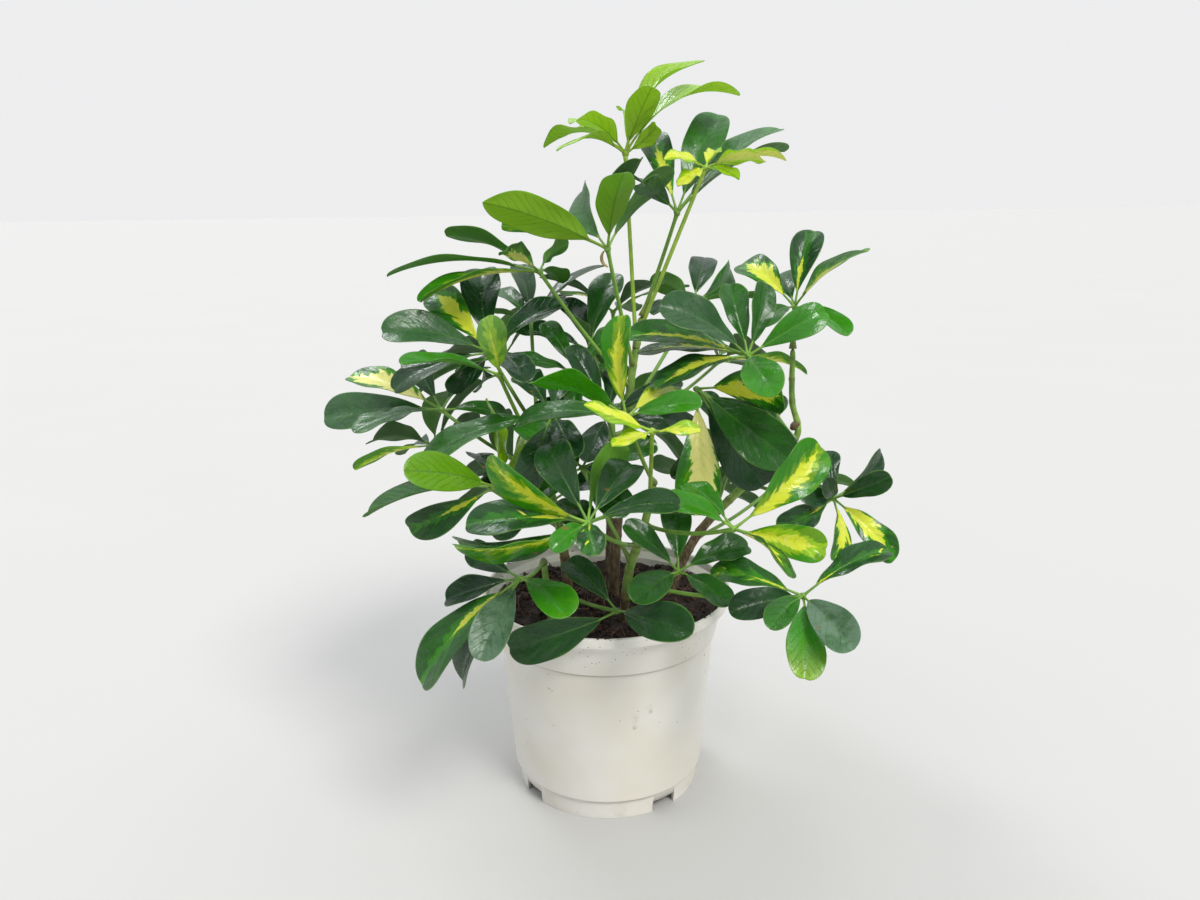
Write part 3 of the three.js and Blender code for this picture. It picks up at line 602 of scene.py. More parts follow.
def add_blade(shape, leaflet, letter, rng, plumpness, sway, turned_over):
    """A fine blade: obovate, arched, folded along its midrib, with waved margins and a blunt tip."""
    tone, yellow, reach, film = LETTERS[letter]
    young = letter in YOUNG
    length = leaflet.length * (1 - STALK)
    u = 1 - (1 - np.linspace(0, 1, ROWS)) ** ROW_POWER
    base_power = (YOUNG_BASE_POWER if young else BASE_POWER) + rng.uniform(*BASE_RANGE)
    tip_power = (YOUNG_TIP_POWER if young else TIP_POWER) + rng.uniform(*TIP_RANGE)
    peak = base_power / (base_power + tip_power)
    most = peak ** base_power * (1 - peak) ** tip_power
    plump = rng.uniform(*plumpness)
    half = plump * WIDTH / 2 * leaflet.length * u ** base_power * (1 - u) ** tip_power / most
    across = np.array(ACROSS)
    wave = rng.uniform(*(YOUNG_WAVE if young else WAVE))
    phase = (rng.uniform(*ANY_TURN), rng.uniform(*ANY_TURN))
    ripple, twist = rng.uniform(*RIPPLES), math.radians(rng.uniform(*TWIST)) * sway
    fold, droop = FOLD + rng.uniform(*MORE_FOLD), rng.uniform(*DROOP)
    bow, curl = rng.uniform(*BOW) * sway, rng.uniform(*CURL) * sway
    notch = max(0, rng.uniform(*NOTCH))
    seed, shade = rng.random(), rng.uniform(*SHADE)
    top_points, low_points, outs, edges = [], [], [], []
    slope = np.gradient(half, u * length + 1e-6)
    for i, share in enumerate(u):
        middle, side, top = leaflet.midrib(STALK + (1 - STALK) * share)
        ahead = np.cross(top, side)
        angle = twist * share
        side, top = turned(side, ahead, angle), turned(top, ahead, angle)
        tip = max(0, share - (1 - TIP_PART)) / TIP_PART
        middle = middle + side * bow * math.sin(math.pi * share) + top * curl * tip ** 2
        lobe = [1 + LOBE_SIZE * math.sin(ripple * LOBE_PACE * share + p) for p in phase]
        width = max(half[i], LEAST_HALF)
        reach_out = across * width * np.where(across < 0, lobe[0], lobe[1])
        bend = fold * np.abs(reach_out) - droop * reach_out ** 2 / max(width, 1)
        swing = np.where(across < 0, *[math.sin(2 * math.pi * ripple * share + p) for p in phase])
        bend = bend + wave * across ** 2 * swing * math.sin(math.pi * share) ** 0.5
        thick = THICK_EDGE + (THICK_MIDDLE - THICK_EDGE) * (1 - across ** 2)
        thick = np.minimum(thick, THICK_EDGE + width * 0.5)
        taper = (1 - share) ** 0.6
        groove = GROOVE_H * taper * np.exp(-(reach_out / GROOVE_W) ** 2)
        ridge = MIDRIB_H * taper * np.exp(-(reach_out / MIDRIB_W) ** 2)
        if turned_over:
            groove, ridge = -ridge, -groove
        spread = middle + reach_out[:, None] * side + bend[:, None] * top
        spread = spread - notch * tip ** 2 * np.exp(-(reach_out / NOTCH_REACH) ** 2)[:, None] * ahead
        top_points.append(spread + (thick / 2 - groove)[:, None] * top)
        low_points.append(spread - (thick / 2 + ridge)[:, None] * top)
        outs.append(reach_out)
        steep = math.hypot(1, slope[i])
        edges.append(np.minimum((width - np.abs(reach_out)) / steep + 0 * across, 9))
    out = np.array(outs).ravel()
    along = np.repeat(u, len(across))
    edge = np.minimum(np.array(edges).ravel(), (1 - along) * length)
    both = {"along": along, "out": out, "edge": edge, "vein": along * length - VEIN_LEAN * np.abs(out)}
    values = {name: np.tile(value, 2) for name, value in both.items()}
    values["under"] = np.repeat([float(turned_over), 1.0 - turned_over], len(out))
    values["tone"] = tone + shade + TIP_TONES.get(letter, 0) * values["along"] ** 3
    shape.add(top_points + low_points, BLADE_FACES, 0, yellow=yellow,
              reach=reach + rng.uniform(*REACH), film=film, seed=seed, **values)
    return tone


def add_stalk(shape, leaflet, tone):
    """The stalk of a leaflet, swollen at the hub and sunk into the blade's base."""
    frames = [leaflet.midrib(t) for t in np.linspace(STALK_FROM, STALK_TO, STALK_STEPS)]
    points = [middle - top * STALK_SINK * k / STALK_STEPS for k, (middle, _, top) in enumerate(frames)]
    radii = STALK_FINE_R + STALK_SWELLING * np.exp(-np.arange(STALK_STEPS) * 0.9)
    radii[-1] = STALK_END_R
    add_tube(shape, np.array(points), radii, STALK_SIDES, 1, tone=tone)


def add_ball(shape, centre, radii, slot, rng, rough=0.0, bands=6, sides=9, **values):
    """A closed round lump with a rough surface, in its own random turn."""
    points = [vec(0, 0, 1)]
    for i in range(1, bands):
        lat = math.pi * i / bands
        for k in range(sides):
            lon = 2 * math.pi * k / sides
            points.append(vec(math.sin(lat) * math.cos(lon), math.sin(lat) * math.sin(lon), math.cos(lat)))
    points.append(vec(0, 0, -1))
    points = np.array(points)
    points *= 1 + rough * np.array([[rng.uniform(-1, 1)] for _ in points])
    turn = np.array(Matrix.Rotation(rng.uniform(*ANY_TURN), 3, Vector((rng.random(), rng.random(), 1))))
    points = points * np.array(radii) @ turn.T + centre
    last = len(points) - 1
    faces = [(0, 1 + k, 1 + (k + 1) % sides) for k in range(sides)]
    faces += [(a, d, c, b) for a, b, c, d in band_faces(bands - 1, sides, 1)]
    end = 1 + (bands - 2) * sides
    faces += [(last, end + (k + 1) % sides, end + k) for k in range(sides)]
    shape.add(points, faces, slot, **values)


def add_petiole(shape, curve, tone):
    """A petiole: a sheath swollen at the stem, a slim round shaft and a small swelling at the hub."""
    share = np.linspace(0, 1, PETIOLE_STEPS)
    from_root, from_hub = share * curve.length, (1 - share) * curve.length
    radii = PETIOLE_R + PETIOLE_TAPER * (1 - share) + SHEATH[0] * np.exp(-(from_root / SHEATH[1]) ** 2)
    radii = radii + HUB_SWELLING[0] * np.exp(-(from_hub / HUB_SWELLING[1]) ** 2)
    age = np.exp(-from_root / BROWN_REACH)
    add_tube(shape, curve.at(share), radii, PETIOLE_SIDES, 1, tone=tone, age=age, along=from_root)


def add_scrap(shape, start, curl):
    """A dried curled scrap that hangs on a leaf; curl is its bend at each step, in degrees."""
    points, radii = [], []
    here, turn = start, -90 - 3 * curl
    for k in range(SCRAP_STEPS):
        points.append(here)
        radii.append(SCRAP_THIN + SCRAP_THICK * math.sin(math.pi * (k + 0.5) / SCRAP_STEPS))
        way = math.radians(turn)
        here = here + vec(math.cos(way) * SCRAP_STEP, 0.3 * math.sin(1.9 * k), math.sin(way) * SCRAP_STEP)
        turn += curl
    add_tube(shape, np.array(points), radii, SCRAP_SIDES, 1, kind=1.0)


def make_leaf(leaf, index, materials):
    """One compound leaf as one piece; gives back how many leaflets it has."""
    rng = random.Random(1009 * index + 17)
    tree = solid_tree(leaf["name"])
    letters = leaf["looks"]
    plumpness, sway = SHADED_PLUMP if "ring" in leaf else PLUMP, 1
    if leaf.get("close"):
        plumpness, sway = CLOSE_PLUMP, CLOSE_SWAY
    shape = Shape()
    tones = []
    for number, leaflet in placed_leaflets(leaf, tree):
        letter = letters[number % len(letters)]
        turned_over = number in leaf.get("over", ())
        tone = add_blade(shape, leaflet, letter, rng, plumpness, sway, turned_over)
        add_stalk(shape, leaflet, tone)
        tones.append(tone)
    tone = float(np.mean(tones))
    add_petiole(shape, placed_petiole(leaf, tree), tone)
    add_ball(shape, vec(*leaf["hub"]), HUB_RADII, 1, rng, rough=0.06, tone=tone)
    for x, y, z, curl in leaf.get("scraps", ()):
        add_scrap(shape, vec(x, y, z), curl)
    stand_for(leaf["name"], shape.build(leaf["name"] + "_fine", materials))
    return len(tones)


def value_noise(x, y, z):
    return noise.noise(Vector((x, y, z)))


def make_stem(name, material):
    """A woody stem with leaf scars ringing it, thicker at each, narrowing to a closed tip."""
    first, last, _ = STEMS[name]
    curve = STEM_CURVES[name]
    rows = int(curve.length / STEM_STEP)
    share = np.linspace(0, 1, rows)
    from_root = share * curve.length
    rng = random.Random(name)
    drift = rng.uniform(0, NODE_PITCH)
    scar = np.exp(-(((from_root + drift) % NODE_PITCH - NODE_PITCH / 2) / SCAR_SIZE[1]) ** 2)
    radii = first + (last - first) * share + SCAR_SIZE[0] * scar
    points = curve.at(share)
    ring_radii = np.array([
        [r + BARK_ROUGH * value_noise(x * 0.3 + 2 * math.cos(a), y * 0.3 + 2 * math.sin(a), z * 0.22)
         for a in np.linspace(0, 2 * math.pi, STEM_SIDES, endpoint=False)]
        for r, (x, y, z) in zip(radii, points)])
    ring_radii *= 0.3 + 0.7 * np.clip((curve.length - from_root) / 3, 0, 1)[:, None] ** 0.5
    shape = Shape()
    age = 1 - smoothstep(0.25, 0.65, share)
    add_tube(shape, points, ring_radii, STEM_SIDES, age=age, kind=scar, along=from_root)
    if name == "stem_right":
        add_ball(shape, vec(*KNOT_AT), KNOT_RADII, 0, rng, rough=0.14, age=1.0, kind=1.0)
    stand_for(name, shape.build(name + "_fine", [material]))


def rounded(corners, radius, steps=5):
    """An outline with its corners rounded, save on the axis, each by its third value if it has one."""
    points = []
    places = [np.array(corner[:2], float) for corner in corners]
    for index, here in enumerate(places):
        if here[0] == 0:
            points.append(here)
            continue
        turn = corners[index][2] if len(corners[index]) > 2 else radius
        ends = []
        for other in (places[index - 1], places[(index + 1) % len(places)]):
            gap = np.linalg.norm(other - here)
            ends.append(here + (other - here) / gap * min(turn, gap * 0.45))
        for k in range(steps + 1):
            t = k / steps
            points.append((1 - t) ** 2 * ends[0] + 2 * t * (1 - t) * here + t * t * ends[1])
    return points


def lathe(profile, sides):
    """Vertices and faces of a profile turned about the axis; its two ends lie on the axis."""
    inner = profile[1:-1]
    points = [vec(0, 0, profile[0][1]), vec(0, 0, profile[-1][1])]
    for r, z in inner:
        for k in range(sides):
            points.append(vec(*about_axis(r, 2 * math.pi * k / sides), z))
    faces = band_faces(len(inner), sides, 2)
    end = 2 + (len(inner) - 1) * sides
    for k in range(sides):
        faces.append((0, 2 + (k + 1) % sides, 2 + k))
        faces.append((1, end + k, end + (k + 1) % sides))
    return points, faces


def cut(piece, cutters):
    """Cuts the other objects out of a piece and removes them."""
    for cutter in cutters:
        modifier = piece.modifiers.new("cut", "BOOLEAN")
        modifier.operation = "DIFFERENCE"
        modifier.solver = "EXACT"
        modifier.object = cutter
    bpy.context.view_layer.update()
    mesh = bpy.data.meshes.new_from_object(piece.evaluated_get(bpy.context.evaluated_depsgraph_get()))
    piece.modifiers.clear()
    piece.data = mesh
    for cutter in cutters:
        bpy.data.objects.remove(cutter)


def cutter_box(size, centre, angle):
    """A box to cut with, turned about the pot's axis."""
    half = np.array(size) / 2
    corners = [vec(x, y, z) * half for x in (-1, 1) for y in (-1, 1) for z in (-1, 1)]
    points = [turned(corner + centre, vec(0, 0, 1), angle) for corner in corners]
    faces = [(0, 1, 3, 2), (4, 6, 7, 5), (0, 4, 5, 1), (2, 3, 7, 6), (0, 2, 6, 4), (1, 5, 7, 3)]
    shape = Shape()
    shape.add(points, faces)
    return shape.build("cutter")


def cutter_rod(radius, bottom, top, x, y):
    """A round rod to cut with."""
    shape = Shape()
    add_tube(shape, np.array([[x, y, bottom], [x, y, top]], float), [radius, radius], ROD_SIDES)
    return shape.build("cutter")


def make_pot(material):
    """The nursery pot with a rolled lip, a collar and a slotted foot ring."""
    lip_z = RIM_Z - LIP_H
    profile = [
        [0, FLOOR_Z], [FOOT_R - WALL - DRAFT, FLOOR_Z], [FOOT_R - WALL, 0], [FOOT_R, 0],
        [FOOT_R + DRAFT, FOOT_H - LEDGE], [BODY_BOTTOM_R, FOOT_H + LEDGE, 1.2],
        [BODY_TOP_R, COLLAR_Z - LEDGE], [COLLAR_BOTTOM_R, COLLAR_Z + LEDGE, 0.8],
        [COLLAR_TOP_R, lip_z - LIP_FLARE, 2], [RIM_R, lip_z, 0.8], [RIM_R, RIM_Z, 1.4],
        [RIM_R - LIP_T, RIM_Z, 0.9], [RIM_R - LIP_T - STEP, lip_z + DRAFT],
        [COLLAR_TOP_R - WALL, lip_z - LIP_FLARE], [COLLAR_BOTTOM_R - WALL, COLLAR_Z + STEP],
        [BODY_TOP_R - WALL, COLLAR_Z - STEP], [BODY_BOTTOM_R - WALL, FOOT_H],
        [BODY_BOTTOM_R - 2 * WALL, FLOOR_Z + WALL], [0, FLOOR_Z + WALL],
    ]
    shape = Shape()
    shape.add(*lathe(rounded(profile, POT_ROUND), POT_SIDES))
    piece = shape.build("pot_fine", [material])
    cutters = []
    for i in range(NOTCH_COUNT):
        angle = math.radians(NOTCH_TURN + i * 360 / NOTCH_COUNT)
        size = (NOTCH_DEPTH, NOTCH_W, 2 * NOTCH_H)
        cutters.append(cutter_box(size, vec(FOOT_R, 0, 0), angle))
        cutters.append(cutter_rod(DRAIN_R, 0, FOOT_H, *about_axis(DRAIN_PITCH_R, angle)))
    cut(piece, cutters)
    stand_for("pot", piece)


def soil_height(x, y):
    """Height of the peat's rough top, as in the part."""
    lumps = math.sin(x * 0.21 + 1.3) * math.cos(y * 0.17 - 0.4) + 0.6 * math.sin(x * 0.09 - y * 0.25)
    return SOIL_Z + SOIL_ROUGH * lumps - SOIL_SLOPE * y


def fine_height(x, y):
    """The peat's top with its grain added."""
    grain = 1.5 * value_noise(x * 0.16, y * 0.16, 3) + 0.9 * value_noise(x * 0.42, y * 0.42, 9)
    return soil_height(x, y) + grain + 0.45 * value_noise(x, y, 5)


SOIL_RINGS, SOIL_SIDES = 64, 190
CRUMBS, FIBRES, CHIPS = 1150, 190, 42
# How far out those lie, as a share of the peat's radius, and their sizes in mm
CRUMB_SHARE, FIBRE_SHARE, CHIP_SHARE = 0.985, 0.86, 0.95
CRUMB_LEAST, CRUMB_MORE, CRUMB_POWER = 0.7, 2.1, 2.2
CHIP_RADII = ((1.6, 4.2), (0.7, 1.6), (0.4, 0.8))
FIBRE_SIDES, FIBRE_STEPS = 5, 9
FIBRE_CURL, FIBRE_STEP, FIBRE_HOP, FIBRE_R = (-0.35, 0.35), (0.8, 2.2), (0, 1.6), (0.16, 0.34)
# Crumbs spilt on the pot's lip: compass in degrees and size in mm
LIP_CRUMBS = ((-94, 1.3), (-90, 1.6), (-88, 0.9), (-91, 0.8), (-60, 0.7), (-42, 0.9), (-38, 0.6),
              (-118, 0.7), (20, 0.8), (75, 1.1), (82, 0.7), (150, 0.9), (205, 0.6))


def peat_spot(rng, share):
    """A random place on the peat, within a share of its radius."""
    return about_axis(SOIL_EDGE_R * share * rng.random() ** 0.5, rng.uniform(*FULL_TURN))


def make_peat(material):
    """Crumbly peat: a rough body with loose crumbs, fibres and chips of bark on it."""
    rng = random.Random(77)
    shape = Shape()
    bottom = FLOOR_Z + WALL + 0.5
    profile = [[0, bottom], [BODY_BOTTOM_R - WALL - 3, bottom], [BODY_BOTTOM_R - PEAT_GAP, FOOT_H + 2],
               [BODY_TOP_R - PEAT_GAP, COLLAR_Z - STEP],
               [COLLAR_BOTTOM_R - PEAT_GAP, COLLAR_Z + 2 * STEP], [SOIL_EDGE_R - DRAFT, SOIL_Z - 9]]
    profile += [[SOIL_EDGE_R * (1 - i / SOIL_RINGS) ** 0.85, SOIL_Z] for i in range(SOIL_RINGS)]
    points, faces = lathe(profile + [[0, SOIL_Z]], SOIL_SIDES)
    for point in points:
        if point[2] > SOIL_Z - 1:
            point[2] = fine_height(point[0], point[1])
    shape.add(points, faces)
    for _ in range(CRUMBS):
        x, y = peat_spot(rng, CRUMB_SHARE)
        size = CRUMB_LEAST + CRUMB_MORE * rng.random() ** CRUMB_POWER
        radii = [size * rng.uniform(0.6, 1.1) for _ in range(3)]
        centre = vec(x, y, fine_height(x, y) + 0.3 * size)
        add_ball(shape, centre, radii, 0, rng, rough=0.22, bands=4, sides=6, seed=rng.random())
    for _ in range(FIBRES):
        add_fibre(shape, rng)
    for _ in range(CHIPS):
        x, y = peat_spot(rng, CHIP_SHARE)
        radii = [rng.uniform(*span) for span in CHIP_RADII]
        centre = vec(x, y, fine_height(x, y) + 0.4)
        add_ball(shape, centre, radii, 0, rng, rough=0.12, bands=4, sides=7, kind=2.0, seed=rng.random())
    for angle, size in LIP_CRUMBS:
        x, y = about_axis(RIM_R - rng.uniform(0.6, 2.0), math.radians(angle))
        radii = (size, size * 0.8, size * 0.55)
        add_ball(shape, vec(x, y, RIM_Z + 0.35 * size), radii, 0, rng, rough=0.25, bands=4, sides=6,
                 seed=rng.random())
    stand_for("soil", shape.build("peat_fine", [material]))


def add_fibre(shape, rng):
    """A thin fibre lying on the peat in a slack bow."""
    x, y = peat_spot(rng, FIBRE_SHARE)
    way = rng.uniform(*FULL_TURN)
    curl, step, hop = rng.uniform(*FIBRE_CURL), rng.uniform(*FIBRE_STEP), rng.uniform(*FIBRE_HOP)
    points = []
    for k in range(FIBRE_STEPS):
        lift = 0.35 + hop * math.sin(math.pi * k / (FIBRE_STEPS - 1))
        points.append(vec(x, y, fine_height(x, y) + lift))
        if math.hypot(x, y) > SOIL_EDGE_R - 3:
            break
        x, y, way = x + step * math.cos(way), y + step * math.sin(way), way + curl
    if len(points) < 4:
        return
    radii = np.full(len(points), rng.uniform(*FIBRE_R))
    add_tube(shape, np.array(points), radii, FIBRE_SIDES, kind=1.0, seed=rng.random())


class Nodes:
    """A node tree, with short ways to add the nodes that the materials share."""

    def __init__(self, owner):
        owner.use_nodes = True
        self.owner = owner
        self.tree = owner.node_tree
        self.tree.nodes.clear()

    def add(self, kind, inputs=(), **settings):
        node = self.tree.nodes.new(kind)
        for key, value in settings.items():
            setattr(node, key, value)
        for key, value in dict(inputs).items():
            if isinstance(value, bpy.types.NodeSocket):
                self.tree.links.new(value, node.inputs[key])
            else:
                node.inputs[key].default_value = value
        return node

    def value(self, name):
        return self.add("ShaderNodeAttribute", attribute_name=name).outputs["Fac"]

    def math(self, operation, *values):
        return self.add("ShaderNodeMath", dict(enumerate(values)), operation=operation).outputs[0]

    def plus(self, *values):
        return reduce(lambda total, value: self.math("ADD", total, value), values)

    def times(self, *values):
        return reduce(lambda total, value: self.math("MULTIPLY", total, value), values)

    def ramp(self, value, low, high, to_low=0.0, to_high=1.0):
        """value mapped smoothly from one range to another, and held at its ends."""
        inputs = {"Value": value, 1: low, 2: high, 3: to_low, 4: to_high}
        return self.add("ShaderNodeMapRange", inputs, interpolation_type="SMOOTHSTEP").outputs[0]

    def mix(self, amount, first, second):
        """A colour between two others."""
        inputs = {0: amount, 6: first, 7: second}
        return self.add("ShaderNodeMix", inputs, data_type="RGBA").outputs[2]

    def vector(self, x, y, z):
        return self.add("ShaderNodeCombineXYZ", {0: x, 1: y, 2: z}).outputs[0]

    def place(self, *scale):
        """The place on the piece, in metres, stretched by a scale for each axis if one is given."""
        place = self.add("ShaderNodeTexCoord").outputs["Object"]
        if not scale:
            return place
        return self.add("ShaderNodeMapping", {"Vector": place, "Scale": scale}).outputs[0]

    def noise(self, scale, detail=2.0, rough=0.5, at=None):
        """Noise from 0 to 1, over the place on the piece unless another place is given."""
        at = self.place() if at is None else at
        inputs = {"Vector": at, "Scale": scale, "Detail": detail, "Roughness": rough}
        return self.add("ShaderNodeTexNoise", inputs).outputs["Fac"]

    def colours(self, value, stops):
        """A colour read from stops of (place, colour)."""
        node = self.add("ShaderNodeValToRGB", {"Fac": value})
        elements = node.color_ramp.elements
        while len(elements) < len(stops):
            elements.new(0.5)
        for element, (place, colour) in zip(elements, stops):
            element.position = place
            element.color = colour
        return node.outputs["Color"]

    def surface(self, colour, rough, relief, distance, strength, specular=0.5):
        """A plain surface with a relief as deep as a distance in metres."""
        inputs = {"Height": relief, "Distance": distance, "Strength": strength}
        bump = self.add("ShaderNodeBump", inputs).outputs["Normal"]
        inputs = {"Base Color": colour, "Roughness": rough, "Normal": bump, "Specular IOR Level": specular}
        return self.add("ShaderNodeBsdfPrincipled", inputs).outputs[0]

    def finish(self, shader, kind="ShaderNodeOutputMaterial"):
        self.add(kind, {"Surface": shader})
        return self.owner


def rgb(r, g, b):
    return (r, g, b, 1)


# Greens of a blade by its tone, from deep to young: its top, its underside and the light through it
TOP_GREENS = (
    (0, rgb(0.01, 0.05, 0.015)), (0.3, rgb(0.023, 0.13, 0.011)), (0.62, rgb(0.048, 0.3, 0.004)),
    (0.8, rgb(0.195, 0.355, 0.006)), (0.97, rgb(0.35, 0.58, 0.015)),
)
# Greens of the midrib and side veins by tone: paler than the blade on deep leaves, and darker on young
# ones as painted shade of the light that shines through the blade
RIB_GREENS = (
    (0, rgb(0.11, 0.25, 0.06)), (0.5, rgb(0.2, 0.46, 0.06)), (0.7, rgb(0.055, 0.15, 0.012)),
    (1, rgb(0.13, 0.26, 0.015)),
)
UNDER_GREENS = (
    (0, rgb(0.05, 0.13, 0.03)), (0.3, rgb(0.085, 0.22, 0.03)), (0.62, rgb(0.13, 0.33, 0.025)),
    (0.8, rgb(0.27, 0.48, 0.022)), (0.97, rgb(0.52, 0.8, 0.055)),
)
THROUGH_GREENS = (
    (0, rgb(0.06, 0.21, 0.01)), (0.3, rgb(0.11, 0.36, 0.01)), (0.62, rgb(0.2, 0.6, 0.01)),
    (0.8, rgb(0.45, 0.74, 0.012)), (0.97, rgb(0.72, 0.95, 0.04)),
)
STALK_GREENS = (
    (0, rgb(0.13, 0.28, 0.04)), (0.5, rgb(0.21, 0.42, 0.045)), (1, rgb(0.38, 0.56, 0.05)),
)
LEMON = rgb(0.74, 0.83, 0.05)
CREAM = rgb(0.9, 0.86, 0.33)
UNDER_CREAM = rgb(0.82, 0.8, 0.34)
THROUGH_LEMON = rgb(0.88, 0.88, 0.2)
MARGIN = rgb(0.17, 0.34, 0.06)
# Pale film of dust on a blade, also laid on as a painted grey-blue sheen
FILM_AND_SHEEN = rgb(0.2, 0.33, 0.215)
SCAR = rgb(0.28, 0.14, 0.035)
DRY_PALE = rgb(0.48, 0.36, 0.15)
DRY_DARK = rgb(0.24, 0.17, 0.06)

# The streaks of a variegated blade break in steps this wide, and its side veins lie this far apart
STREAK_STEP = 1.7
VEIN_PITCH = 6.4
# The share of a blade's light that comes through it
LIGHT_THROUGH = 0.35


def blade_material():
    """A leathery glossy blade: ragged yellow along the midrib, faint veins that are painted dark on young
    blades as shade of the light through them, a thin pale margin, and a pale film of dust that also serves
    as painted sheen.
    """
    n = Nodes(bpy.data.materials.new("leaf_blade"))
    along, out, vein, edge, tone, yellow, reach, film, seed, under = map(n.value, VALUES[:10])
    seed = n.times(seed, 60)
    aside = n.math("ABSOLUTE", out)
    stepped = n.math("SNAP", n.plus(vein, n.times(out, 0.12)), STREAK_STEP)

    def streaks(down, pitch, spread, shift):
        """Noise in streaks that run out along the side veins, from about -0.3 to 0.3."""
        place = n.vector(n.times(down, 1 / pitch), n.times(out, 1 / spread), n.plus(seed, shift))
        return n.math("SUBTRACT", n.noise(1, 1.5, at=place), 0.5)

    spread = n.times(n.ramp(along, 0, 0.35, 0.4, 1),
                     n.ramp(n.math("SUBTRACT", along, reach), -0.3, 0.03, 1, 0))
    wide = n.times(yellow, spread)
    drift = n.times(n.math("SINE", seed), n.math("MINIMUM", n.times(wide, 0.6), 1.7))
    off = n.math("ABSOLUTE", n.plus(out, drift))
    depth = n.math("MINIMUM", n.times(wide, 3.2), 14)
    fingers = n.times(streaks(stepped, 5.5, 20, 0), depth)
    feather = n.times(streaks(vein, 1.3, 6, 9), n.math("MINIMUM", n.times(wide, 1.3), 3.2))
    inside = n.plus(n.math("SUBTRACT", wide, off), fingers, feather)
    painted = n.ramp(yellow, 0.4, 0.8)
    flecks = n.times(n.ramp(streaks(stepped, 3.2, 9, 33), 0.19, 0.21), n.ramp(inside, -5, -2.5))
    lemon_mask = n.times(n.math("MAXIMUM", n.ramp(inside, -0.1, 0.2), flecks), painted)
    halo = n.plus(inside, n.times(streaks(stepped, 8, 26, 21), 14))
    halo = n.times(n.ramp(halo, -3.2, -2.4), painted)
    blotch = streaks(vein, 11, 9, 47)
    deep = n.ramp(tone, 0.45, 0.75, 1, 0.25)
    bands = n.times(n.ramp(streaks(stepped, 9, 30, 71), 0.06, 0.09), painted, 0.12)
    shade = n.plus(tone, n.times(blotch, deep, 0.3), n.times(halo, 0.26), bands)
    wob = n.plus(vein, n.times(streaks(vein, 5, 4, 5), 4))
    stripe = n.math("ABSOLUTE", n.math("SINE", n.times(wob, math.pi / VEIN_PITCH)))
    # Young blades get dark midrib and vein lines: painted shade of the light that shines through them
    light = n.ramp(tone, 0.66, 0.72)
    lines = n.ramp(stripe, 0, n.plus(n.times(light, 0.08), 0.15), 1, 0)
    lines = n.times(lines, n.ramp(edge, 0.4, 3.5))
    fading = n.ramp(along, 0.05, 0.75, 0.6, 0.12)
    rib = n.times(n.ramp(aside, 0.2, 0.65, 1, 0), n.math("MAXIMUM", fading, n.times(light, 0.75)))

    plain, ribs = n.colours(shade, TOP_GREENS), n.colours(tone, RIB_GREENS)
    faint = n.times(lines, n.plus(n.times(light, 0.6), 0.08))
    green = n.mix(n.math("MAXIMUM", rib, faint), plain, ribs)
    lemon = n.mix(n.ramp(yellow, 5, 8), LEMON, CREAM)
    lemon = n.mix(n.ramp(streaks(vein, 2.2, 12, 87), 0, 0.2, 0, 0.45), lemon, CREAM)
    lemon = n.mix(n.ramp(streaks(vein, 1.6, 5, 93), 0.14, 0.24, 0, 0.35), lemon, plain)
    top = n.mix(lemon_mask, green, lemon)
    faint = n.plus(faint, n.times(lines, 0.12))
    below = n.mix(n.math("MAXIMUM", rib, faint), n.colours(shade, UNDER_GREENS), ribs)
    below = n.mix(n.times(lemon_mask, 0.8), below, UNDER_CREAM)
    colour = n.mix(under, top, below)
    colour = n.mix(n.ramp(edge, 0.12, 0.5, 0.6, 0), colour, MARGIN)
    # The pale film: real dust in clouds and specks, and also a painted sheen on dark blades
    clouds, specks = n.noise(95, 3, 0.6), n.noise(900, 3, 0.7)
    dust_and_sheen = n.times(n.ramp(clouds, 0.3, 0.6, 0.35, 1), n.ramp(specks, 0.35, 0.7, 0.6, 1), film, 0.85)
    colour = n.mix(dust_and_sheen, colour, FILM_AND_SHEEN)
    colour = n.mix(n.ramp(n.noise(190, 0), 0.835, 0.85, 0, 0.8), colour, SCAR)

    rough = n.ramp(n.noise(220, 3), 0.3, 0.7, 0.14, 0.3)
    rough = n.plus(rough, n.times(dust_and_sheen, 0.3), n.times(under, 0.35))
    quilt = n.plus(n.times(lines, -0.4), n.times(blotch, 1.3))
    relief = n.plus(quilt, n.times(n.noise(380, 3), 0.45))
    gloss = n.surface(colour, rough, relief, 0.0007, 0.75)
    lit = n.mix(lemon_mask, n.colours(shade, THROUGH_GREENS), THROUGH_LEMON)
    through = n.add("ShaderNodeBsdfTranslucent", {"Color": lit}).outputs[0]
    return n.finish(n.add("ShaderNodeMixShader", {0: LIGHT_THROUGH, 1: gloss, 2: through}).outputs[0])


def stalk_material():
    """Smooth green stalks, yellower on young leaves and browner where a petiole leaves its stem."""
    n = Nodes(bpy.data.materials.new("leaf_stalk"))
    mottle = n.noise(160, 3)
    green = n.colours(n.value("tone"), STALK_GREENS)
    colour = n.mix(n.ramp(mottle, 0.3, 0.7, 0, 0.4), green, rgb(0.1, 0.2, 0.03))
    colour = n.mix(n.times(n.value("age"), 0.8), colour, rgb(0.16, 0.13, 0.045))
    colour = n.mix(n.value("kind"), colour, n.mix(n.ramp(mottle, 0.35, 0.65), DRY_PALE, DRY_DARK))
    ribs = n.noise(6, at=n.vector(n.times(n.value("along"), 0.2), 0, 0))
    relief = n.plus(mottle, n.times(ribs, 0.4))
    return n.finish(n.surface(colour, n.ramp(mottle, 0.2, 0.8, 0.36, 0.52), relief, 0.0003, 0.5))


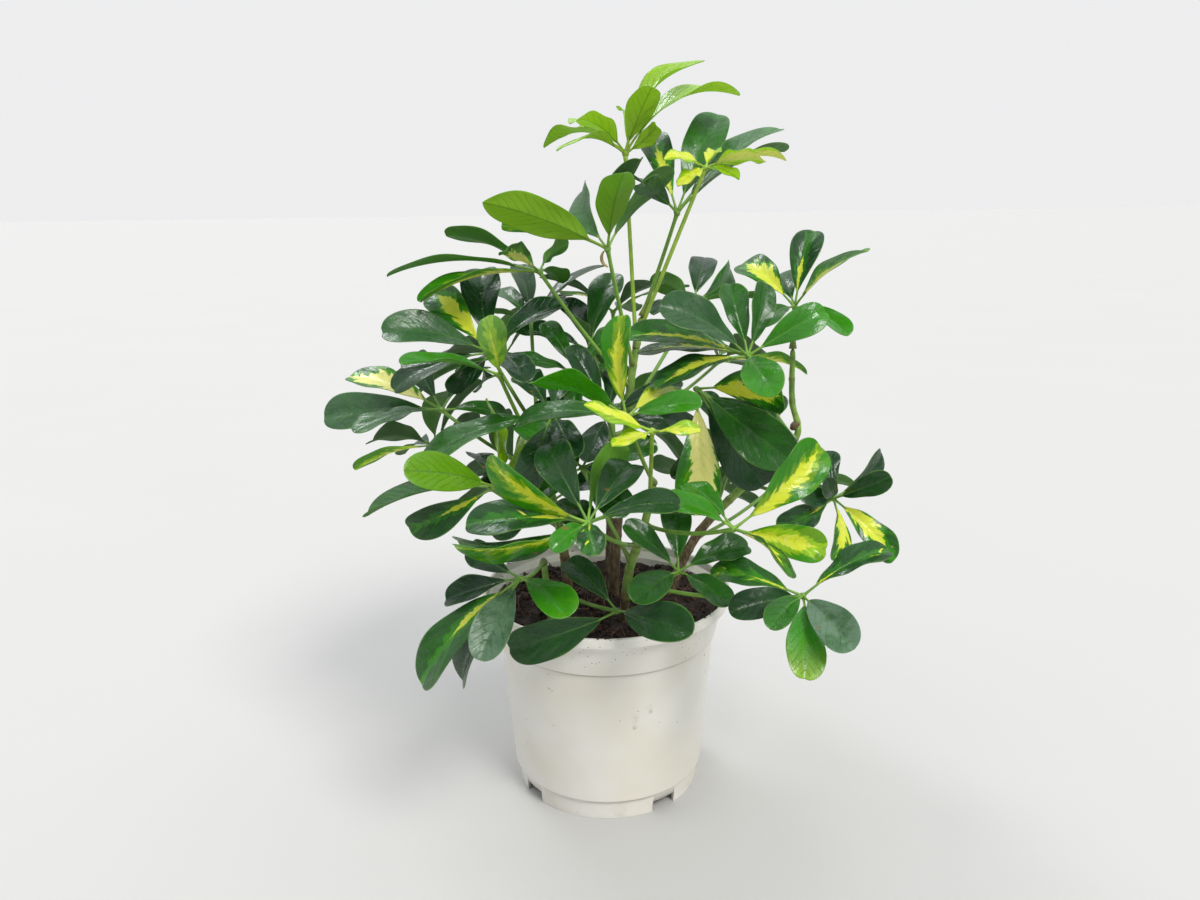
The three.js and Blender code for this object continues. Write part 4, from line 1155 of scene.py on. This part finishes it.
def stem_material():
    """Bark: grey brown and cracked low down, green above, with corky scars."""
    n = Nodes(bpy.data.materials.new("stem_bark"))
    cracks = n.noise(420, 5, 0.65, n.place(1, 1, 0.25))
    patches = n.noise(90, 3)
    bark = n.mix(n.ramp(cracks, 0.35, 0.68), rgb(0.07, 0.045, 0.022), rgb(0.27, 0.2, 0.11))
    green = n.mix(n.ramp(patches, 0.35, 0.65), rgb(0.15, 0.28, 0.045), rgb(0.28, 0.44, 0.085))
    age = n.plus(n.value("age"), n.times(n.math("SUBTRACT", patches, 0.5), 0.4))
    colour = n.mix(n.ramp(age, 0.2, 0.75), green, bark)
    colour = n.mix(n.times(n.value("kind"), 0.55), colour, rgb(0.13, 0.085, 0.045))
    return n.finish(n.surface(colour, n.ramp(cracks, 0.3, 0.7, 0.62, 0.85), cracks, 0.0009, 0.8))


def peat_material():
    """Damp dark peat, with reddish fibres and paler chips."""
    n = Nodes(bpy.data.materials.new("peat"))
    grain, damp = n.noise(700, 4, 0.7), n.noise(45, 3)
    seed, kind = n.value("seed"), n.value("kind")
    dark = n.mix(n.ramp(grain, 0.3, 0.72), rgb(0.006, 0.003, 0.003), rgb(0.04, 0.018, 0.013))
    dark = n.mix(n.ramp(seed, 0.4, 1, 0, 0.7), dark, rgb(0.085, 0.036, 0.024))
    fibre = n.mix(seed, rgb(0.12, 0.045, 0.025), rgb(0.27, 0.15, 0.09))
    colour = n.mix(n.ramp(kind, 0.3, 0.7), dark, fibre)
    chip = n.mix(n.ramp(grain, 0.3, 0.7), rgb(0.08, 0.032, 0.018), rgb(0.2, 0.1, 0.055))
    colour = n.mix(n.ramp(kind, 1.4, 1.7), colour, chip)
    return n.finish(n.surface(colour, n.ramp(damp, 0.35, 0.6, 0.55, 0.92), grain, 0.0016, 0.9))


# Smudges on the pot: place in mm, size and strength
SMUDGES = ((17, -69, 71, 2.6, 0.55), (17, -69, 79, 4.2, 0.22), (17, -69, 75, 3, 0.15),
           (27, -66, 81, 2.4, 0.4), (26, -66, 84, 4, 0.2), (-38, -62, 96, 1.3, 0.8),
           (-36, -63, 95, 1, 0.6))
# Heights of the pot's steps where a dark line of painted shade is laid, and how strong it is
PAINTED_SHADE_LINES = ((COLLAR_Z - 0.2, 0.75), (FOOT_H + 0.2, 0.35), (RIM_Z - LIP_H - 1.5, 0.2))

# Specks on the pot: how fine they are, and the chance that a spot stays clean low down and near the lip
SPECKS = ((420, 0.99, 0.64), (200, 0.995, 0.78))


def pot_material():
    """Warm white moulded plastic, a little yellowed, with peat specks near the lip, a few smudges and dark
    lines of painted shade at its steps.
    """
    n = Nodes(bpy.data.materials.new("pot_plastic"))
    place = n.place()
    height = n.times(n.add("ShaderNodeSeparateXYZ", {"Vector": place}).outputs[2], 1000)
    cloud = n.noise(20)
    colour = n.mix(n.ramp(cloud, 0.35, 0.7), rgb(0.8, 0.78, 0.725), rgb(0.755, 0.72, 0.63))
    upper = n.ramp(height, 104, 138)
    lower = n.ramp(height, 0, 18, 1, 0)
    grime = n.times(n.math("MAXIMUM", upper, lower), n.ramp(n.noise(60, 4, 0.6), 0.5, 0.85))
    colour = n.mix(n.times(grime, 0.4), colour, rgb(0.42, 0.34, 0.23))
    # Dark lines of painted shade under the collar, at the foot step and under the lip
    for level, strength in PAINTED_SHADE_LINES:
        near = n.ramp(n.math("ABSOLUTE", n.math("SUBTRACT", height, level)), 0.25, 1.5, strength, 0)
        colour = n.mix(n.times(near, n.ramp(cloud, 0.3, 0.7, 0.5, 1)), colour, rgb(0.3, 0.25, 0.18))
    dots = 0
    for scale, low_down, near_lip in SPECKS:
        grit = n.add("ShaderNodeTexVoronoi", {"Vector": place, "Scale": scale}).outputs
        chance = n.add("ShaderNodeSeparateColor", {0: grit["Color"]}).outputs[0]
        spot = n.ramp(grit["Distance"], 0.1, 0.2, 1, 0)
        spot = n.times(spot, n.math("GREATER_THAN", chance, n.ramp(upper, 0, 1, low_down, near_lip)))
        dots = n.math("MAXIMUM", dots, spot)
    colour = n.mix(n.times(dots, 0.8), colour, rgb(0.05, 0.032, 0.02))
    for x, y, z, size, strength in SMUDGES:
        gap = n.add("ShaderNodeVectorMath", {0: place, 1: (x * MM, y * MM, z * MM)}, operation="DISTANCE")
        near = n.ramp(gap.outputs["Value"], 0, size * MM, strength, 0)
        near = n.times(near, n.ramp(n.noise(420, 3), 0.35, 0.65, 0.3, 1))
        colour = n.mix(near, colour, rgb(0.16, 0.15, 0.08))
    scuffs = n.noise(300, 4, 0.7, n.place(1, 1, 3))
    rough = n.plus(n.ramp(scuffs, 0.3, 0.7, 0.38, 0.5), n.times(grime, 0.2))
    relief = n.plus(n.times(scuffs, 0.4), n.noise(1500, 1))
    return n.finish(n.surface(colour, rough, relief, 0.00012, 0.5, specular=0.4))


# Camera: its place in mm, how far it looks down and rolls in degrees, and its lens
CAMERA_AT = (-3.16, -601.5, 397.8)
LOOK_DOWN = 14.925
ROLL = -0.763
LENS = 28
SENSOR = 36
NEAREST = 0.01


def make_camera():
    data = bpy.data.cameras.new("camera")
    data.lens, data.sensor_width = LENS, SENSOR
    data.clip_start = NEAREST
    camera = in_scene("camera", data)
    tilt = Matrix.Rotation(math.radians(90 - LOOK_DOWN), 4, "X")
    roll = Matrix.Rotation(math.radians(ROLL), 4, "Z")
    camera.matrix_world = Matrix.Translation(Vector(CAMERA_AT) * MM) @ (tilt @ roll)
    bpy.context.scene.camera = camera


# Studio: the sky's strength all round, and what is added overhead and behind
SKY_DIM = 0.2
SKY_ABOVE = 0.9
SKY_BEHIND = 0.45
SKY_COLOUR = rgb(0.95, 0.975, 1)
WALL_COLOUR = rgb(0.85, 0.85, 0.86)
# Each lamp: where its light comes from, how wide it is in degrees, its power and its colour
LAMPS = {
    "lamp_front": ((0.5, -0.7, 1), 22, 2.3, (1, 0.985, 0.95)),
    "lamp_back": ((-0.35, 0.55, 0.8), 18, 0.9, (0.96, 0.98, 1)),
}
FLOOR_COLOUR = rgb(0.465, 0.46, 0.45)
FLOOR_TINT = rgb(0.485, 0.48, 0.47)
FLOOR_REACH = 30


def make_studio():
    """A pale floor under a soft sky, brighter overhead and behind, with two wide lamps."""
    n = Nodes(bpy.data.worlds.new("studio"))
    bpy.context.scene.world = n.owner
    way = n.add("ShaderNodeSeparateXYZ", {0: n.add("ShaderNodeTexCoord").outputs["Generated"]}).outputs
    above = n.ramp(way[2], 0, 0.85, 0, SKY_ABOVE)
    light = n.plus(SKY_DIM, above, n.ramp(way[1], 0, 0.7, 0, SKY_BEHIND))
    sky = n.add("ShaderNodeBackground", {"Color": SKY_COLOUR, "Strength": light}).outputs[0]
    wall = n.add("ShaderNodeBackground", {"Color": WALL_COLOUR, "Strength": 1}).outputs[0]
    seen = n.add("ShaderNodeLightPath").outputs["Is Camera Ray"]
    n.finish(n.add("ShaderNodeMixShader", {0: seen, 1: sky, 2: wall}).outputs[0], "ShaderNodeOutputWorld")

    for name, (way_to, width, power, tint) in LAMPS.items():
        lamp = bpy.data.lights.new(name, "SUN")
        lamp.energy, lamp.angle, lamp.color = power, math.radians(width), tint
        in_scene(name, lamp).rotation_euler = Vector(way_to).to_track_quat("Z", "Y").to_euler()

    n = Nodes(bpy.data.materials.new("floor_paint"))
    tint = n.mix(n.noise(3, 4), FLOOR_COLOUR, FLOOR_TINT)
    paint = n.finish(n.add("ShaderNodeBsdfPrincipled", {"Base Color": tint, "Roughness": 0.85}).outputs[0])
    mesh = bpy.data.meshes.new("floor")
    corners = [(x * FLOOR_REACH, y * FLOOR_REACH, 0) for x, y in ((-1, -1), (1, -1), (1, 1), (-1, 1))]
    mesh.from_pydata(corners, [], [(0, 1, 2, 3)])
    mesh.materials.append(paint)
    floor = in_scene("floor", mesh)


bpy.context.scene.view_settings.view_transform = "Standard"
make_camera()
make_studio()
make_pot(pot_material())
make_peat(peat_material())
bark = stem_material()
for stem_name in STEMS:
    make_stem(stem_name, bark)
leaf_materials = [blade_material(), stalk_material()]
leaflets = [make_leaf(leaf, i, leaf_materials) for i, leaf in enumerate(LEAVES)]
print("leaflets", sum(leaflets))
